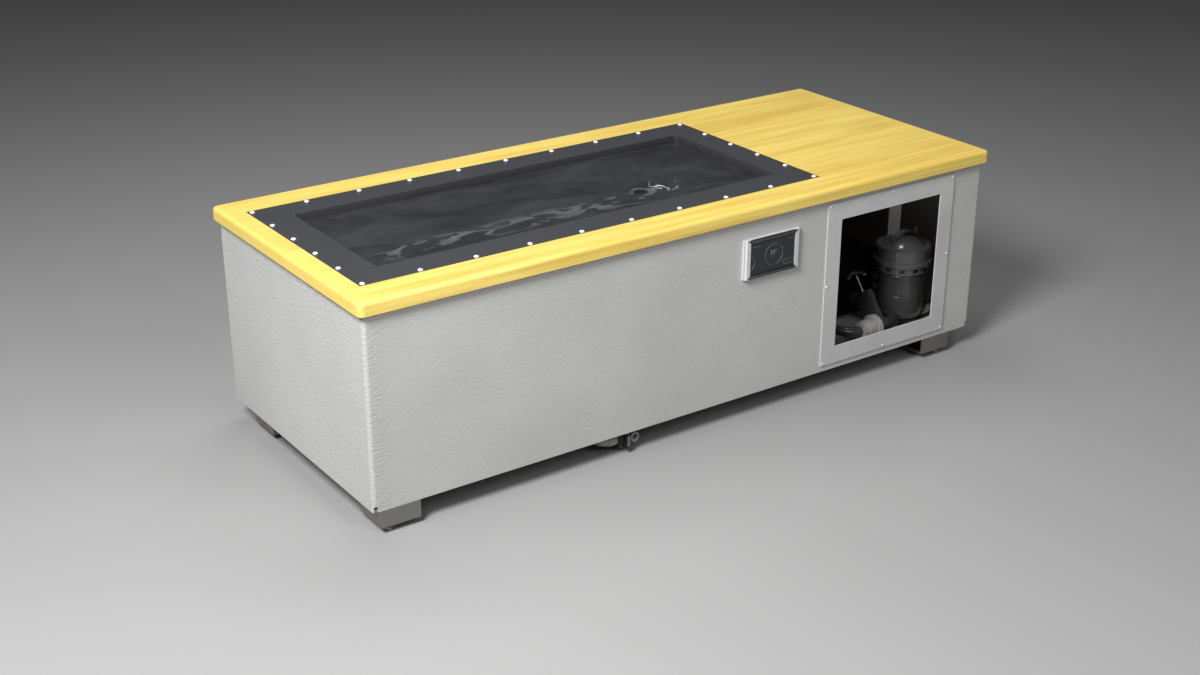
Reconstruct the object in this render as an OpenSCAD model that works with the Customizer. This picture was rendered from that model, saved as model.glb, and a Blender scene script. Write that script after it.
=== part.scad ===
// Cold plunge tub: a long insulated cabinet on four feet, with a wooden top, a sunk
// black trough, and an equipment bay that holds the filter and the chiller.
// The origin is the middle of the footprint, on the floor. Z is up, the front is at -Y,
// and the solid wooden deck with the equipment bay under it is at +X.

/* [Wooden top] */
// Overall length of the wooden top
top_length = 2257; // [2200:1:2400]
// Overall width of the wooden top
top_width = 914.4; // [880:0.1:1000]
// Thickness of the wooden slab
top_thickness = 38; // [34:1:45]
// Height of its upper face above the floor
top_height = 681; // [660:1:720]
// Radius of its rounded upper edge
top_edge_radius = 11; // [4:1:16]
// Radius of its corners in plan
top_corner_radius = 18; // [17:1:40]
// How far it stands out past the cabinet on all sides
top_overhang = 15; // [10:1:25]
// Width of the wooden rim at the left end
rim_end_width = 60.7; // [50:0.1:75]

/* [Cabinet] */
// Height of the cabinet's lower edge above the floor
cabinet_ground_gap = 73; // [68:1:85]
// Wall thickness of the moulded cabinet
cabinet_wall = 8; // [6:1:9]
// Radius of its vertical corners
cabinet_corner_radius = 12; // [10:1:30]
// Width of the relief notch beside each lower corner
cabinet_notch = 11; // [5:1:14]
// Height of that notch
cabinet_notch_height = 17; // [8:1:25]
// Thickness of the floor pan
pan_thickness = 5; // [3:1:8]
// Thickness of the wall between trough and equipment bay
bulkhead_thickness = 6; // [4:1:9]
// Distance of that wall from the trough's end
bulkhead_gap = 44; // [42:1:52]

/* [Trough] */
// Length of the wooden deck over the equipment bay
deck_length = 626.3; // [620:0.1:660]
// Width of the trough's opening
trough_width = 495; // [470:1:505]
// Height of its floor above the ground
trough_floor = 130; // [125:1:150]
// Wall thickness of the trough
trough_wall = 6; // [4:1:8]
// Radius of the trough's vertical inner corners
trough_corner_radius = 12; // [8:1:30]
// Width of the flange at the trough's left end
flange_end_width = 101; // [96:1:110]
// Width of the flange along the trough's long sides
flange_side_width = 100.5; // [96:0.5:106]
// Width of the flange at the trough's right end
flange_inner_end_width = 95; // [90:1:104]
// Thickness of the flange
flange_thickness = 8; // [6:1:10]
// Thickness of the rubber strip under the flange
gasket_thickness = 2; // [1:0.5:3]
// Thickness of the insulation round the trough
foam_thickness = 40; // [30:1:41]
// Height of the two bearers under the trough
bearer_height = 26; // [24:1:30]
// Width of a bearer
bearer_width = 60; // [40:1:80]

/* [Flange screws] */
// Number of screws along each long side, corners included
screws_along = 10; // [6:1:12]
// Number of screws along each end, corners included
screws_across = 6; // [4:1:8]
// Distance of the screws from the flange's edge
screw_inset = 13; // [10:1:16]
// Diameter of a screw's domed head
screw_head_diameter = 15; // [12:1:18]
// Height of that head
screw_head_height = 4.5; // [3:0.5:6]
// Diameter of a screw's shank
screw_shank_diameter = 5; // [4:0.5:6]
// Length of a screw's shank
screw_shank_length = 30; // [20:1:32]

/* [Service window] */
// Outer width of the frame round the service window
window_frame_width = 531; // [510:1:540]
// Distance of the frame's top edge under the wooden top
window_below_top = 17; // [10:1:24]
// Width of the flat band of the frame
window_band = 56; // [50:1:60]
// Thickness of the frame
window_frame_thickness = 4; // [3:0.5:6]
// Distance of the frame from the cabinet's right end
window_from_end = 127; // [110:1:140]
// Height of the frame's lower edge above the cabinet's lower edge
window_from_bottom = 20; // [14:1:24]
// Radius of the opening's corners
window_corner_radius = 4; // [3:1:10]
// Diameter of a frame screw's head
window_screw_head = 7; // [5:0.5:9]
// Distance of the frame screws from the frame's edge
window_screw_inset = 8.5; // [7:0.5:12]

/* [Control panel] */
// Width of the control panel
panel_width = 213; // [190:1:230]
// Height of the control panel
panel_height = 123; // [110:1:130]
// How far it stands out from the cabinet
panel_depth = 13; // [11:1:14]
// Width of each metal end cap
panel_cap_width = 21; // [16:1:26]
// Height of the sloped strip above and below the glass
panel_strip_height = 12; // [9:1:14]
// Gap between the panel and the frame of the service window
panel_window_gap = 116.5; // [100:0.5:140]
// Distance of the panel's top edge under the wooden top
panel_below_top = 62; // [50:1:75]

/* [Legs and feet] */
// Length and width of a leg box
leg_size = 120; // [110:1:126]
// Distance of the rear legs from the cabinet's back
leg_rear_inset = 93; // [80:1:110]
// Height of the leg boxes
leg_height = 53; // [50:1:56]
// Thickness of their sheet
leg_sheet = 4; // [3:0.5:5]
// Distance of the left legs from the cabinet's left end
leg_left_inset = 23; // [15:1:40]
// Distance of the right legs from the cabinet's right end
leg_right_inset = 90; // [60:1:110]
// Diameter of a foot pad
foot_diameter = 27; // [24:1:32]
// Height of a foot pad
foot_pad_height = 11; // [8:1:12]
// Diameter of a foot's screw
foot_screw_diameter = 10; // [8:1:12]
// Distance of a foot from the outer end face of its leg
foot_inset = 32; // [28:1:40]
// Distance of a foot from the outer side face of its leg
foot_side_inset = 25; // [22:1:34]
// How far a foot can be screwed out
foot_travel = 20; // [10:1:25]

/* [Filter] */
// Distance of the filter's axis from the cabinet's right end
filter_from_end = 155.5; // [150:0.5:160]
// Distance of the filter's axis from the cabinet's front
filter_from_front = 167.5; // [160:0.5:170]
// Outer radius of the filter's body at its neck
filter_radius = 81; // [78:0.5:82]
// Height of the filter's body
filter_body_height = 168; // [160:1:175]
// Wall thickness of the filter's body
filter_wall = 5; // [4:0.5:6]
// Height of the base under the filter
filter_base_height = 16; // [14:1:20]
// Outer radius of the lock ring
ring_radius = 97; // [96:0.5:100]
// Height of the lock ring
ring_height = 40; // [36:1:44]
// Number of windows round the lock ring
ring_windows = 12; // [8:1:16]
// Outer radius of the lid
lid_radius = 92.5; // [91:0.5:93]
// Height of the lid's straight side above the lock ring
lid_side_height = 43; // [38:1:48]
// Height of the lid's dome
lid_dome_height = 27; // [22:1:30]

/* [Slice valve] */
// Distance of the valve's middle from the filter's axis
valve_from_filter = 201; // [190:1:206]
// Distance of the pipe's axis from the cabinet's front
valve_from_front = 62.3; // [60:0.1:66]
// Height of the pipe's axis above the floor pan
valve_pipe_height = 57; // [55:1:62]
// Lean of the valve towards the back
valve_lean = 38.4; // [30:0.1:45]
// Width of the valve's body
valve_body_width = 69; // [66:1:74]
// Thickness of the valve's body
valve_body_thickness = 18; // [16:1:22]
// Length of the body above the pipe's axis
valve_body_above = 118; // [112:1:124]
// Length of the body below the pipe's axis
valve_body_below = 32; // [30:1:36]
// Radius of the bore through the valve
valve_bore_radius = 20; // [18:0.5:21]
// Length of the rod that shows when the valve is open
valve_rod_length = 64; // [60:1:70]
// Width of the grip on the rod
valve_grip_width = 76; // [60:1:84]
// Outer radius of the pale collar on the valve
collar_radius = 42; // [38:0.5:43]
// Thickness of that collar
collar_thickness = 16; // [12:1:18]

/* [Suction hose] */
// Outer radius of the hose
hose_radius = 16; // [14:0.5:17]
// Wall thickness of the hose
hose_wall = 3.5; // [2.5:0.5:4.5]
// Bend radius of the hose, as a share of its run
hose_bend_share = 0.366; // [0.3:0.001:0.4]
// Outer radius of the round coupling on the hose
coupling_radius = 32; // [30:0.5:34]
// Length of that coupling
coupling_length = 42; // [38:1:46]
// Width of the metal band round the coupling
band_width = 4; // [3:0.5:5]

/* [Chiller] */
// Length of the chiller's case
chiller_length = 370; // [360:1:390]
// Depth of the chiller's case
chiller_depth = 400; // [390:1:420]
// Height of the chiller's case
chiller_height = 214; // [208:1:230]
// Distance of the case's right side from the filter's axis, leftwards
chiller_from_filter = 28; // [24:1:34]
// Distance of the case's front from the cabinet's front
chiller_from_front = 270; // [268:1:274]
// Height of the chiller's rubber feet
chiller_foot_height = 14; // [10:1:18]
// Sheet thickness of the case
chiller_sheet = 2; // [1.5:0.5:2.5]
// Radius of the chiller's fan
fan_radius = 80; // [70:1:84]
// Number of blades on the fan
fan_blades = 5; // [3:1:8]
// Number of fins on the condenser
condenser_fins = 18; // [8:1:24]

/* [Return pipe] */
// Outer radius of the rigid pipes
pipe_radius = 16; // [14:0.5:17]
// Wall thickness of the rigid pipes
pipe_wall = 3; // [2:0.5:4]
// Bend radius of their elbows
pipe_bend = 24; // [20:1:28]
// Height of the return pipe above the floor pan
return_height = 28; // [24:1:32]
// Depth of the return jet below the wooden top
jet_depth = 161; // [140:1:200]
// Distance of the return jet from the middle of the trough
jet_offset = 90; // [60:1:120]
// Radius of the mixing chamber on the return pipe
chamber_radius = 22.5; // [20:0.5:23]
// Height of the mixing chamber
chamber_height = 134; // [120:1:138]

/* [Drain] */
// Distance of the drain from the trough's middle, towards its left end
drain_offset = 65; // [20:1:120]
// Distance of the drain valve's axis from the cabinet's front
drain_from_front = 44.3; // [42:0.1:60]
// Height of the drain pipe's axis above the floor
drain_height = 42; // [38:1:46]
// Radius of the drain valve's collar
drain_collar_radius = 27; // [24:1:28]
// Outer radius of the drain's outlet
outlet_radius = 13; // [12:0.5:15]

/* [Vent and inlet] */
// Width of the louvred vent in the back
vent_width = 300; // [240:1:340]
// Height of that vent
vent_height = 240; // [180:1:280]
// Number of slots in it
vent_slots = 9; // [5:1:12]
// Radius of the inlet for the mains cable
gland_radius = 9; // [8:0.5:11]

/* [Hidden] */

$fn = 48;

// How far every cut runs past the face it opens
over = 2;
// Gap of a running fit, on the radius
run_gap = 0.05;
// Gap between pieces that are set loosely beside each other
lay_gap = 0.3;
// Gap round the pieces that drop into the wooden top
drop_gap = 1;

// Colours of the pieces
wood_tint = [0.87, 0.73, 0.37];
coat_tint = [0.74, 0.74, 0.73];
plate_tint = [0.64, 0.64, 0.63];
black_tint = [0.13, 0.13, 0.14];
liner_tint = [0.20, 0.20, 0.21];
steel_tint = [0.80, 0.80, 0.81];
grey_tint = [0.42, 0.41, 0.40];
pale_tint = [0.66, 0.65, 0.62];
filter_tint = [0.32, 0.32, 0.33];
foam_tint = [0.88, 0.84, 0.66];
copper_tint = [0.72, 0.45, 0.28];

// Outline of the cabinet
shell_x = top_length / 2 - top_overhang;
shell_y = top_width / 2 - top_overhang;
shell_bottom = cabinet_ground_gap;
shell_top = top_height - top_thickness;
inner_x = shell_x - cabinet_wall;
inner_y = shell_y - cabinet_wall;
inner_corner = cabinet_corner_radius - cabinet_wall;
ceiling = shell_top - cabinet_wall;
pan_top = shell_bottom + pan_thickness;
front_cut = [-shell_y - over, -inner_y + over];
bay_y = [-inner_y + drop_gap / 2, inner_y - drop_gap / 2];
bay_z = [pan_top, ceiling - lay_gap];

// Trough and flange, from the left end of the wooden top
hole_x0 = -top_length / 2 + rim_end_width;
trough_x0 = hole_x0 + drop_gap + flange_end_width;
trough_x1 = top_length / 2 - deck_length - drop_gap - flange_inner_end_width;
trough_y = trough_width / 2;
flange_x = [trough_x0 - flange_end_width, trough_x1 + flange_inner_end_width];
flange_y = trough_y + flange_side_width;
hole_x = [flange_x[0] - drop_gap, flange_x[1] + drop_gap];
hole_y = flange_y + drop_gap;
flange_under = top_height - flange_thickness;
ring_top = flange_under - gasket_thickness;
flange_hole = screw_shank_diameter / 2 + run_gap;
trough_under = trough_floor - trough_wall;
outer_x = [trough_x0 - trough_wall, trough_x1 + trough_wall];
outer_y = trough_y + trough_wall;
outer_corner = trough_corner_radius + trough_wall;
// Room round the trough in the cabinet's top
pass_gap = 4;

bulkhead_x = [outer_x[1] + bulkhead_gap, outer_x[1] + bulkhead_gap + bulkhead_thickness];

// Service window
win_x1 = shell_x - window_from_end;
win_x0 = win_x1 - window_frame_width;
win_z0 = shell_bottom + window_from_bottom;
window_front = -shell_y - window_frame_thickness;
win_z1 = shell_top - window_below_top;
// How far the cabinet's hole stands back from the frame's opening
window_step = 8.5;
win_screw_shank = 1.5;
win_screw_rise = 2.2;
win_screw_length = 9;

// Filter
filter_x = shell_x - filter_from_end;
filter_y = -shell_y + filter_from_front;
filter_z0 = pan_top + filter_base_height;
neck_z = filter_z0 + filter_body_height;
neck_step = 2;
ring_z0 = neck_z + neck_step;
ring_z1 = ring_z0 + ring_height;
lid_top = ring_z1 + lid_side_height;
dome_top = lid_top + lid_dome_height;
// Upright rim of the body inside the lid, and the lid's wall
filter_rim_height = 18;
lid_wall = 6;
lid_seat = ring_z0 + 2 * ring_height / 3;
lid_flange = 6;
lid_step = 2;
rim_radius = filter_radius - neck_step;
flange_radius = filter_radius + neck_step;
knob_reach = 52;
knob_stem = 5;

// Slice valve
valve_x = filter_x - valve_from_filter;
valve_y = -shell_y + valve_from_front;
valve_z = pan_top + valve_pipe_height;
valve_left = valve_x - valve_body_thickness / 2;
valve_right = valve_x + valve_body_thickness / 2;
gate_thickness = 4;
gate_gap = 0.3;
gate_margin = 6;
gate_height = 2 * (valve_bore_radius + gate_margin);
rod_radius = 4;

// Coupling and hose
neck_length = 4;
coupling_x1 = valve_left - collar_thickness;
coupling_x0 = coupling_x1 - neck_length - band_width - coupling_length;
neck_radius = coupling_radius - 2;
hose_grip = 15;
hose_start = coupling_x0 + hose_grip;
fitting_flange = 34;
suction_inset = trough_corner_radius + fitting_flange + drop_gap;
suction_rise = 44;
hose_stub = 30;
suction_y = -trough_y + suction_inset;
suction_z = trough_floor + suction_rise;
hose_end = bulkhead_x[1] + hose_stub;

// Chiller
chiller_x1 = filter_x - chiller_from_filter;
chiller_x0 = chiller_x1 - chiller_length;
chiller_y0 = -shell_y + chiller_from_front;
chiller_y1 = chiller_y0 + chiller_depth;
chiller_z0 = pan_top + chiller_foot_height;
chiller_z1 = chiller_z0 + chiller_height;
port_from_filter = 108;
port_x = filter_x - port_from_filter;

// Return pipe
pipe_bore = pipe_radius - pipe_wall;
return_from_end = 52;
return_offset = 37;
return_from_back = 54;
riser_from_bulkhead = 48;
jet_stub = 4;
return_x = shell_x - return_from_end;
return_z = pan_top + return_height;
return_y0 = filter_y - return_offset;
return_back = inner_y - return_from_back;
return_rise_x = bulkhead_x[1] + riser_from_bulkhead;
jet_z = top_height - jet_depth;
jet_y = -jet_offset;

// Drain
drain_x = (trough_x0 + trough_x1) / 2 - drain_offset;
drain_y = -shell_y + drain_from_front;
drain_valve_offset = 69;
drain_slab_x = drain_x + drain_valve_offset;
drain_slab = 10;
drain_slab_set = 7;
drain_socket = 10;
drain_gate_t = 3;
drain_pocket = pipe_bore + pipe_wall;
spout_reach = 28;
spout_set = 18;

// Legs
leg_left_x = -shell_x + leg_left_inset;
leg_right_x = shell_x - leg_right_inset - leg_size;
leg_bottom = shell_bottom - leg_height;
nut_height = 6;
nut_radius = 9;

// A box between two limits along each axis
module block(x, y, z)
    translate([x[0], y[0], z[0]]) cube([x[1] - x[0], y[1] - y[0], z[1] - z[0]]);

// An outline with round corners, centred
module rounded(length, width, radius) {
    square([length - 2 * radius, width], center = true);
    square([length, width - 2 * radius], center = true);
    for (sx = [-1, 1], sy = [-1, 1])
        translate([sx * (length / 2 - radius), sy * (width / 2 - radius)]) circle(radius);
}

// An upright block with round vertical corners
module rounded_block(x, y, z, radius)
    translate([(x[0] + x[1]) / 2, (y[0] + y[1]) / 2, z[0]])
        linear_extrude(z[1] - z[0]) rounded(x[1] - x[0], y[1] - y[0], radius);

// A rod along X, Y or Z from one point
module rod_x(x, y, z, radius)
    translate([x[0], y, z]) rotate([0, 90, 0]) cylinder(r = radius, h = x[1] - x[0]);
module rod_y(x, y, z, radius)
    translate([x, y[0], z]) rotate([-90, 0, 0]) cylinder(r = radius, h = y[1] - y[0]);
module rod_z(x, y, z, radius)
    translate([x, y, z[0]]) cylinder(r = radius, h = z[1] - z[0]);

module post(z, radius) rod_z(0, 0, z, radius);

// A shallow dome of a given rim radius and rise, standing on Z = 0
module dome(radius, rise) {
    ball = (radius * radius + rise * rise) / (2 * rise);
    intersection() {
        translate([0, 0, rise - ball]) sphere(ball, $fn = 64);
        cylinder(r = radius, h = rise);
    }
}

// A pipe along straight runs, square to each other, with an elbow at each point
module pipe_run(path, radius, bore, bend) {
    last = len(path) - 1;
    for (i = [0 : last - 1]) {
        way = path[i + 1] - path[i];
        dir = way / norm(way);
        from = path[i] + dir * (i == 0 ? 0 : bend);
        to = path[i + 1] - dir * (i == last - 1 ? 0 : bend);
        translate(from) aim(dir) linear_extrude(norm(to - from)) pipe_ring(radius, bore);
    }
    for (i = [1 : 1 : last - 1]) {
        a = (path[i] - path[i - 1]) / norm(path[i] - path[i - 1]);
        b = (path[i + 1] - path[i]) / norm(path[i + 1] - path[i]);
        n = cross(a, b);
        c = path[i] - bend * a + bend * b;
        multmatrix([
            [-b[0], a[0], n[0], c[0]],
            [-b[1], a[1], n[1], c[1]],
            [-b[2], a[2], n[2], c[2]],
            [0, 0, 0, 1]
        ]) rotate_extrude(angle = 90) translate([bend, 0]) pipe_ring(radius, bore);
    }
}

module pipe_ring(radius, bore)
    difference() {
        circle(radius);
        circle(bore);
    }

// Turns +Z into a direction along one of the axes
module aim(dir)
    rotate([dir[1] == 0 ? 0 : -90 * sign(dir[1]), 0, 0])
        rotate([dir[2] < 0 ? 180 : 0, dir[0] == 0 ? 0 : 90 * sign(dir[0]), 0]) children();

// Places of the flange screws
function flange_screw_places() =
    let (
        x0 = flange_x[0] + screw_inset,
        pitch_x = (flange_x[1] - flange_x[0] - 2 * screw_inset) / (screws_along - 1),
        pitch_y = (2 * flange_y - 2 * screw_inset) / (screws_across - 1),
        y0 = -flange_y + screw_inset
    ) concat(
        [for (i = [0 : screws_along - 1], j = [0, screws_across - 1])
            [x0 + i * pitch_x, y0 + j * pitch_y]],
        [for (i = [0, screws_along - 1], j = [1 : screws_across - 2])
            [x0 + i * pitch_x, y0 + j * pitch_y]]
    );

// Wooden slab, one piece with the hole for the trough
module top_profile(half, thick) {
    square([half, thick - top_edge_radius]);
    square([half - top_edge_radius, thick]);
    translate([half - top_edge_radius, thick - top_edge_radius]) intersection() {
        circle(top_edge_radius);
        square(top_edge_radius);
    }
}

module top_section(half, thick) {
    top_profile(half, thick);
    mirror([1, 0]) top_profile(half, thick);
}

module top_deck() {
    rc = top_corner_radius;
    half_x = top_length / 2;
    half_y = top_width / 2;
    color(wood_tint) difference() {
        translate([0, 0, shell_top]) union() {
            for (sx = [-1, 1], sy = [-1, 1])
                translate([sx * (half_x - rc), sy * (half_y - rc), 0])
                    rotate_extrude() top_profile(rc, top_thickness);
            rotate([90, 0, 90]) translate([0, 0, rc - half_x])
                linear_extrude(2 * (half_x - rc)) top_section(half_y, top_thickness);
            rotate([90, 0, 0]) translate([0, 0, rc - half_y])
                linear_extrude(2 * (half_y - rc)) top_section(half_x, top_thickness);
        }
        block(hole_x, [-hole_y, hole_y], [shell_top - over, top_height + over]);
    }
}

// Cabinet of five bonded panels: two long walls, two ends with the round corners, a top plate
panel_seam = 0.1;
wall_x = shell_x - cabinet_corner_radius;
wall_top = ceiling - panel_seam;
module outer_shell() {
    step = window_band - window_step;
    run_x = [panel_seam - wall_x, wall_x - panel_seam];
    color(coat_tint) {
        difference() {
            block(run_x, [-shell_y, -inner_y], [shell_bottom, wall_top]);
            block([win_x0 + step, win_x1 - step], front_cut, [win_z0 + step, win_z1 - step]);
            block(panel_hole_x(), front_cut, panel_hole_z());
            for (p = window_screw_places())
                rod_y(p[0], front_cut, p[1], win_screw_shank + run_gap);
            corner_notches();
        }
        difference() {
            block(run_x, [inner_y, shell_y], [shell_bottom, wall_top]);
            corner_notches();
            block(vent_x(), [inner_y - over, shell_y + over], vent_z());
            rod_y(gland_x(), [inner_y - over, shell_y + over], gland_z(), gland_radius + run_gap);
        }
        for (side = [-1, 1]) end_wall(side);
        difference() {
            rounded_block([-shell_x, shell_x], [-shell_y, shell_y], [ceiling, shell_top],
                cabinet_corner_radius);
            trough_pass([ceiling, shell_top]);
        }
    }
}

module trough_pass(z)
    block([outer_x[0] - pass_gap, outer_x[1] + pass_gap], [-outer_y - pass_gap, outer_y + pass_gap],
        [z[0] - over, z[1] + over]);

module end_wall(side)
    difference() {
        intersection() {
            rounded_block([-shell_x, shell_x], [-shell_y, shell_y], [shell_bottom, wall_top],
                cabinet_corner_radius);
            translate([side * (wall_x + shell_x) / 2, 0, (shell_bottom + ceiling) / 2])
                cube([cabinet_corner_radius, top_width, top_height], center = true);
        }
        rounded_block([-inner_x, inner_x], [-inner_y, inner_y],
            [shell_bottom - over, ceiling + over], inner_corner);
        corner_notches();
    }

module corner_notches()
    for (sx = [-1, 1], sy = [-1, 1])
        translate([sx * (shell_x - (cabinet_wall + cabinet_notch) / 2), sy * shell_y, shell_bottom])
            cube([cabinet_notch, 3 * cabinet_wall, 2 * cabinet_notch_height], center = true);

// Sheet floor of the cabinet, between its walls
module floor_pan() {
    color(grey_tint) difference() {
        rounded_block([-inner_x + drop_gap / 2, inner_x - drop_gap / 2], bay_y, [shell_bottom, pan_top],
            inner_corner);
        rod_z(drain_x, 0, [shell_bottom - over, pan_top + over], pipe_radius + lay_gap);
        for (p = leg_bolt_places())
            rod_z(p[0], p[1], [shell_bottom - over, pan_top + over], bolt_radius + run_gap);
    }
}

// Two box tubes that carry the filled trough
module bearers() {
    bearer_x = [outer_x[0] - foam_thickness, outer_x[1] + foam_thickness];
    bearer_tube = 3;
    color(grey_tint) for (side = [-1, 1]) translate([0, side * outer_y / 2, 0]) difference() {
        block(bearer_x, [-bearer_width / 2, bearer_width / 2], [pan_top, pan_top + bearer_height]);
        block([bearer_x[0] - over, bearer_x[1] + over],
            [-bearer_width / 2 + bearer_tube, bearer_width / 2 - bearer_tube],
            [pan_top + bearer_tube, pan_top + bearer_height - bearer_tube]);
    }
}

// Insulation: a box round the trough, open above
module foam_jacket() {
    t = foam_thickness;
    color(foam_tint) difference() {
        block([outer_x[0] - t, outer_x[1] + t], [-outer_y - t, outer_y + t],
            [pan_top + bearer_height, ceiling - lay_gap]);
        rounded_block([outer_x[0] - lay_gap, outer_x[1] + lay_gap],
            [-outer_y - lay_gap, outer_y + lay_gap], [trough_under, ceiling + over],
            outer_corner);
        rod_x([outer_x[1] - over, outer_x[1] + t + over], suction_y, suction_z, hose_radius + drop_gap);
        rod_x([outer_x[1] - over, outer_x[1] + t + over], jet_y, jet_z, jet_barrel + drop_gap);
        rod_z(drain_x, 0, [pan_top, trough_floor], drain_cup + drop_gap);
    }
}

// Wall between the trough's space and the equipment bay
module bulkhead() {
    color(black_tint) difference() {
        block(bulkhead_x, bay_y, bay_z);
        rod_x([bulkhead_x[0] - over, bulkhead_x[1] + over], suction_y, suction_z, hose_radius + drop_gap);
        rod_x([bulkhead_x[0] - over, bulkhead_x[1] + over], jet_y, jet_z, jet_barrel + drop_gap);
    }
}

// Dark lining of the bay's end wall, and the pale batten that holds it
lining_thickness = 10;
lining_y = inner_y - inner_corner - drop_gap;
batten_thickness = 12;
batten_width = 44;
batten_from_front = 326;
batten_y = -shell_y + batten_from_front;

module end_lining() {
    color(black_tint) block([inner_x - lining_thickness, inner_x], [-lining_y, lining_y], bay_z);
}

module end_batten() {
    x1 = inner_x - lining_thickness;
    color(pale_tint) block([x1 - batten_thickness, x1], [batten_y, batten_y + batten_width], bay_z);
}

// Packing ring that the flange is screwed down on
module flange_plate(z, holes) {
    difference() {
        block(flange_x, [-flange_y, flange_y], z);
        trough_pass(z);
        for (p = flange_screw_places())
            rod_z(p[0], p[1], [z[0] - over, z[1] + over], holes);
    }
}

module support_ring()
    color(black_tint)
        flange_plate([shell_top, ring_top], flange_hole);

module flange_gasket()
    color(black_tint)
        flange_plate([ring_top, flange_under], flange_hole);

// Trough welded from five sheets, with a flange plate on top
module trough_sheet(x, y) difference() {
    intersection() {
        rounded_block(outer_x, [-outer_y, outer_y], [trough_floor + panel_seam, flange_under - panel_seam],
            outer_corner);
        block(x, y, [trough_floor, flange_under]);
    }
    trough_room(trough_floor);
}
module trough_room(z0)
    rounded_block([trough_x0, trough_x1], [-trough_y, trough_y], [z0, top_height + over], trough_corner_radius);

module liner() {
    corner = trough_corner_radius + panel_seam;
    color(liner_tint) {
        difference() {
            block(flange_x, [-flange_y, flange_y], [flange_under, top_height]);
            trough_room(trough_floor);
            for (p = flange_screw_places())
                rod_z(p[0], p[1], [flange_under - over, top_height + over], flange_hole);
        }
        difference() {
            rounded_block(outer_x, [-outer_y, outer_y], [trough_under, trough_floor], outer_corner);
            rod_z(drain_x, 0, [trough_under - over, trough_floor + over], pipe_radius + run_gap);
        }
        for (y = [[-outer_y, 0], [0, outer_y]])
            trough_sheet([trough_x0 + corner, trough_x1 - corner], y);
        trough_sheet([outer_x[0], trough_x0 + trough_corner_radius], [-outer_y, outer_y]);
        difference() {
            trough_sheet([trough_x1 - trough_corner_radius, outer_x[1]], [-outer_y, outer_y]);
            rod_x([trough_x1 - over, outer_x[1] + over], suction_y, suction_z, hose_radius + run_gap);
            rod_x([trough_x1 - over, outer_x[1] + over], jet_y, jet_z, jet_barrel + run_gap);
        }
    }
}

// Dome-head screws round the flange
module flange_screws() {
    color(steel_tint) for (p = flange_screw_places()) translate([p[0], p[1], top_height]) {
        dome(screw_head_diameter / 2, screw_head_height);
        translate([0, 0, -screw_shank_length])
            cylinder(d = screw_shank_diameter, h = screw_shank_length);
    }
}

// Frame round the service window, and its screws
function window_screw_places() =
    let (
        i = window_screw_inset,
        xs = [win_x0 + i, (win_x0 + win_x1) / 2, win_x1 - i],
        zs = [win_z0 + i, (win_z0 + win_z1) / 2, win_z1 - i]
    ) [for (a = [0 : 2], b = [0 : 2]) if (a != 1 || b != 1) [xs[a], zs[b]]];

module access_frame() {
    band = window_band;
    color(plate_tint) difference() {
        block([win_x0, win_x1], [window_front, -shell_y], [win_z0, win_z1]);
        translate([(win_x0 + win_x1) / 2, -shell_y + over, (win_z0 + win_z1) / 2])
            rotate([90, 0, 0]) linear_extrude(window_frame_thickness + 2 * over)
                rounded(window_frame_width - 2 * band, win_z1 - win_z0 - 2 * band, window_corner_radius);
        for (p = window_screw_places())
            rod_y(p[0], [window_front - over, -shell_y + over], p[1], win_screw_shank + run_gap);
    }
}

module access_screws() {
    color(steel_tint) for (p = window_screw_places()) {
        translate([p[0], window_front, p[1]]) rotate([90, 0, 0])
            dome(window_screw_head / 2, win_screw_rise);
        rod_y(p[0], [window_front, win_screw_length - shell_y], p[1], win_screw_shank);
    }
}

// Control panel: a black housing through the wall, a metal bezel and a black glass
panel_x1 = win_x0 - panel_window_gap;
panel_x0 = panel_x1 - panel_width;
panel_z1 = shell_top - panel_below_top;
panel_z0 = panel_z1 - panel_height;
panel_margin = 6;
panel_body_depth = 42;
bezel_lip = 2;
bezel_slope = 5;
function panel_hole_x() = [panel_x0 + panel_margin + panel_cap_width - drop_gap,
    panel_x1 - panel_margin - panel_cap_width + drop_gap];
function panel_hole_z() = [panel_z0 + panel_margin + panel_strip_height - drop_gap,
    panel_z1 - panel_margin - panel_strip_height + drop_gap];

module panel_housing() {
    hx = panel_hole_x();
    hz = panel_hole_z();
    color(black_tint) block([hx[0] + drop_gap, hx[1] - drop_gap],
        [-shell_y - bezel_lip, -shell_y + panel_body_depth],
        [hz[0] + drop_gap, hz[1] - drop_gap]);
}

module panel_bezel() {
    front = -shell_y - panel_depth;
    slope = panel_depth - bezel_slope;
    color(steel_tint) difference() {
        union() {
            for (side = [-1, 1]) translate([(panel_x0 + panel_x1) / 2, 0, panel_z0])
                linear_extrude(panel_height) polygon([
                    [side * panel_width / 2, -shell_y], [side * panel_width / 2, -shell_y - bezel_lip],
                    [side * (panel_width / 2 - slope), front],
                    [side * (panel_width / 2 - panel_cap_width), front],
                    [side * (panel_width / 2 - panel_cap_width), -shell_y]
                ]);
            block([panel_x0, panel_x1], [-shell_y - slope, -shell_y], [panel_z0, panel_z1]);
        }
        block([panel_x0 + panel_cap_width, panel_x1 - panel_cap_width], [front - over, -shell_y - bezel_lip],
            [panel_z0 + panel_strip_height, panel_z1 - panel_strip_height]);
        block([panel_hole_x()[0], panel_hole_x()[1]], [front - over, -shell_y + over],
            [panel_hole_z()[0], panel_hole_z()[1]]);
    }
}

module panel_glass() {
    front = -shell_y - panel_depth;
    glass_set = 2;
    color([0.06, 0.06, 0.08]) block(
        [panel_x0 + panel_cap_width + lay_gap, panel_x1 - panel_cap_width - lay_gap],
        [front + glass_set, -shell_y - bezel_lip],
        [panel_z0 + panel_strip_height + lay_gap, panel_z1 - panel_strip_height - lay_gap]);
}

// Leg boxes of folded sheet, open towards the middle of the tub
bolt_radius = 5;
bolt_side = 30;
bolt_in = 34;
bolt_head_height = 6;
bolt_head_radius = 8.5;

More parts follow.
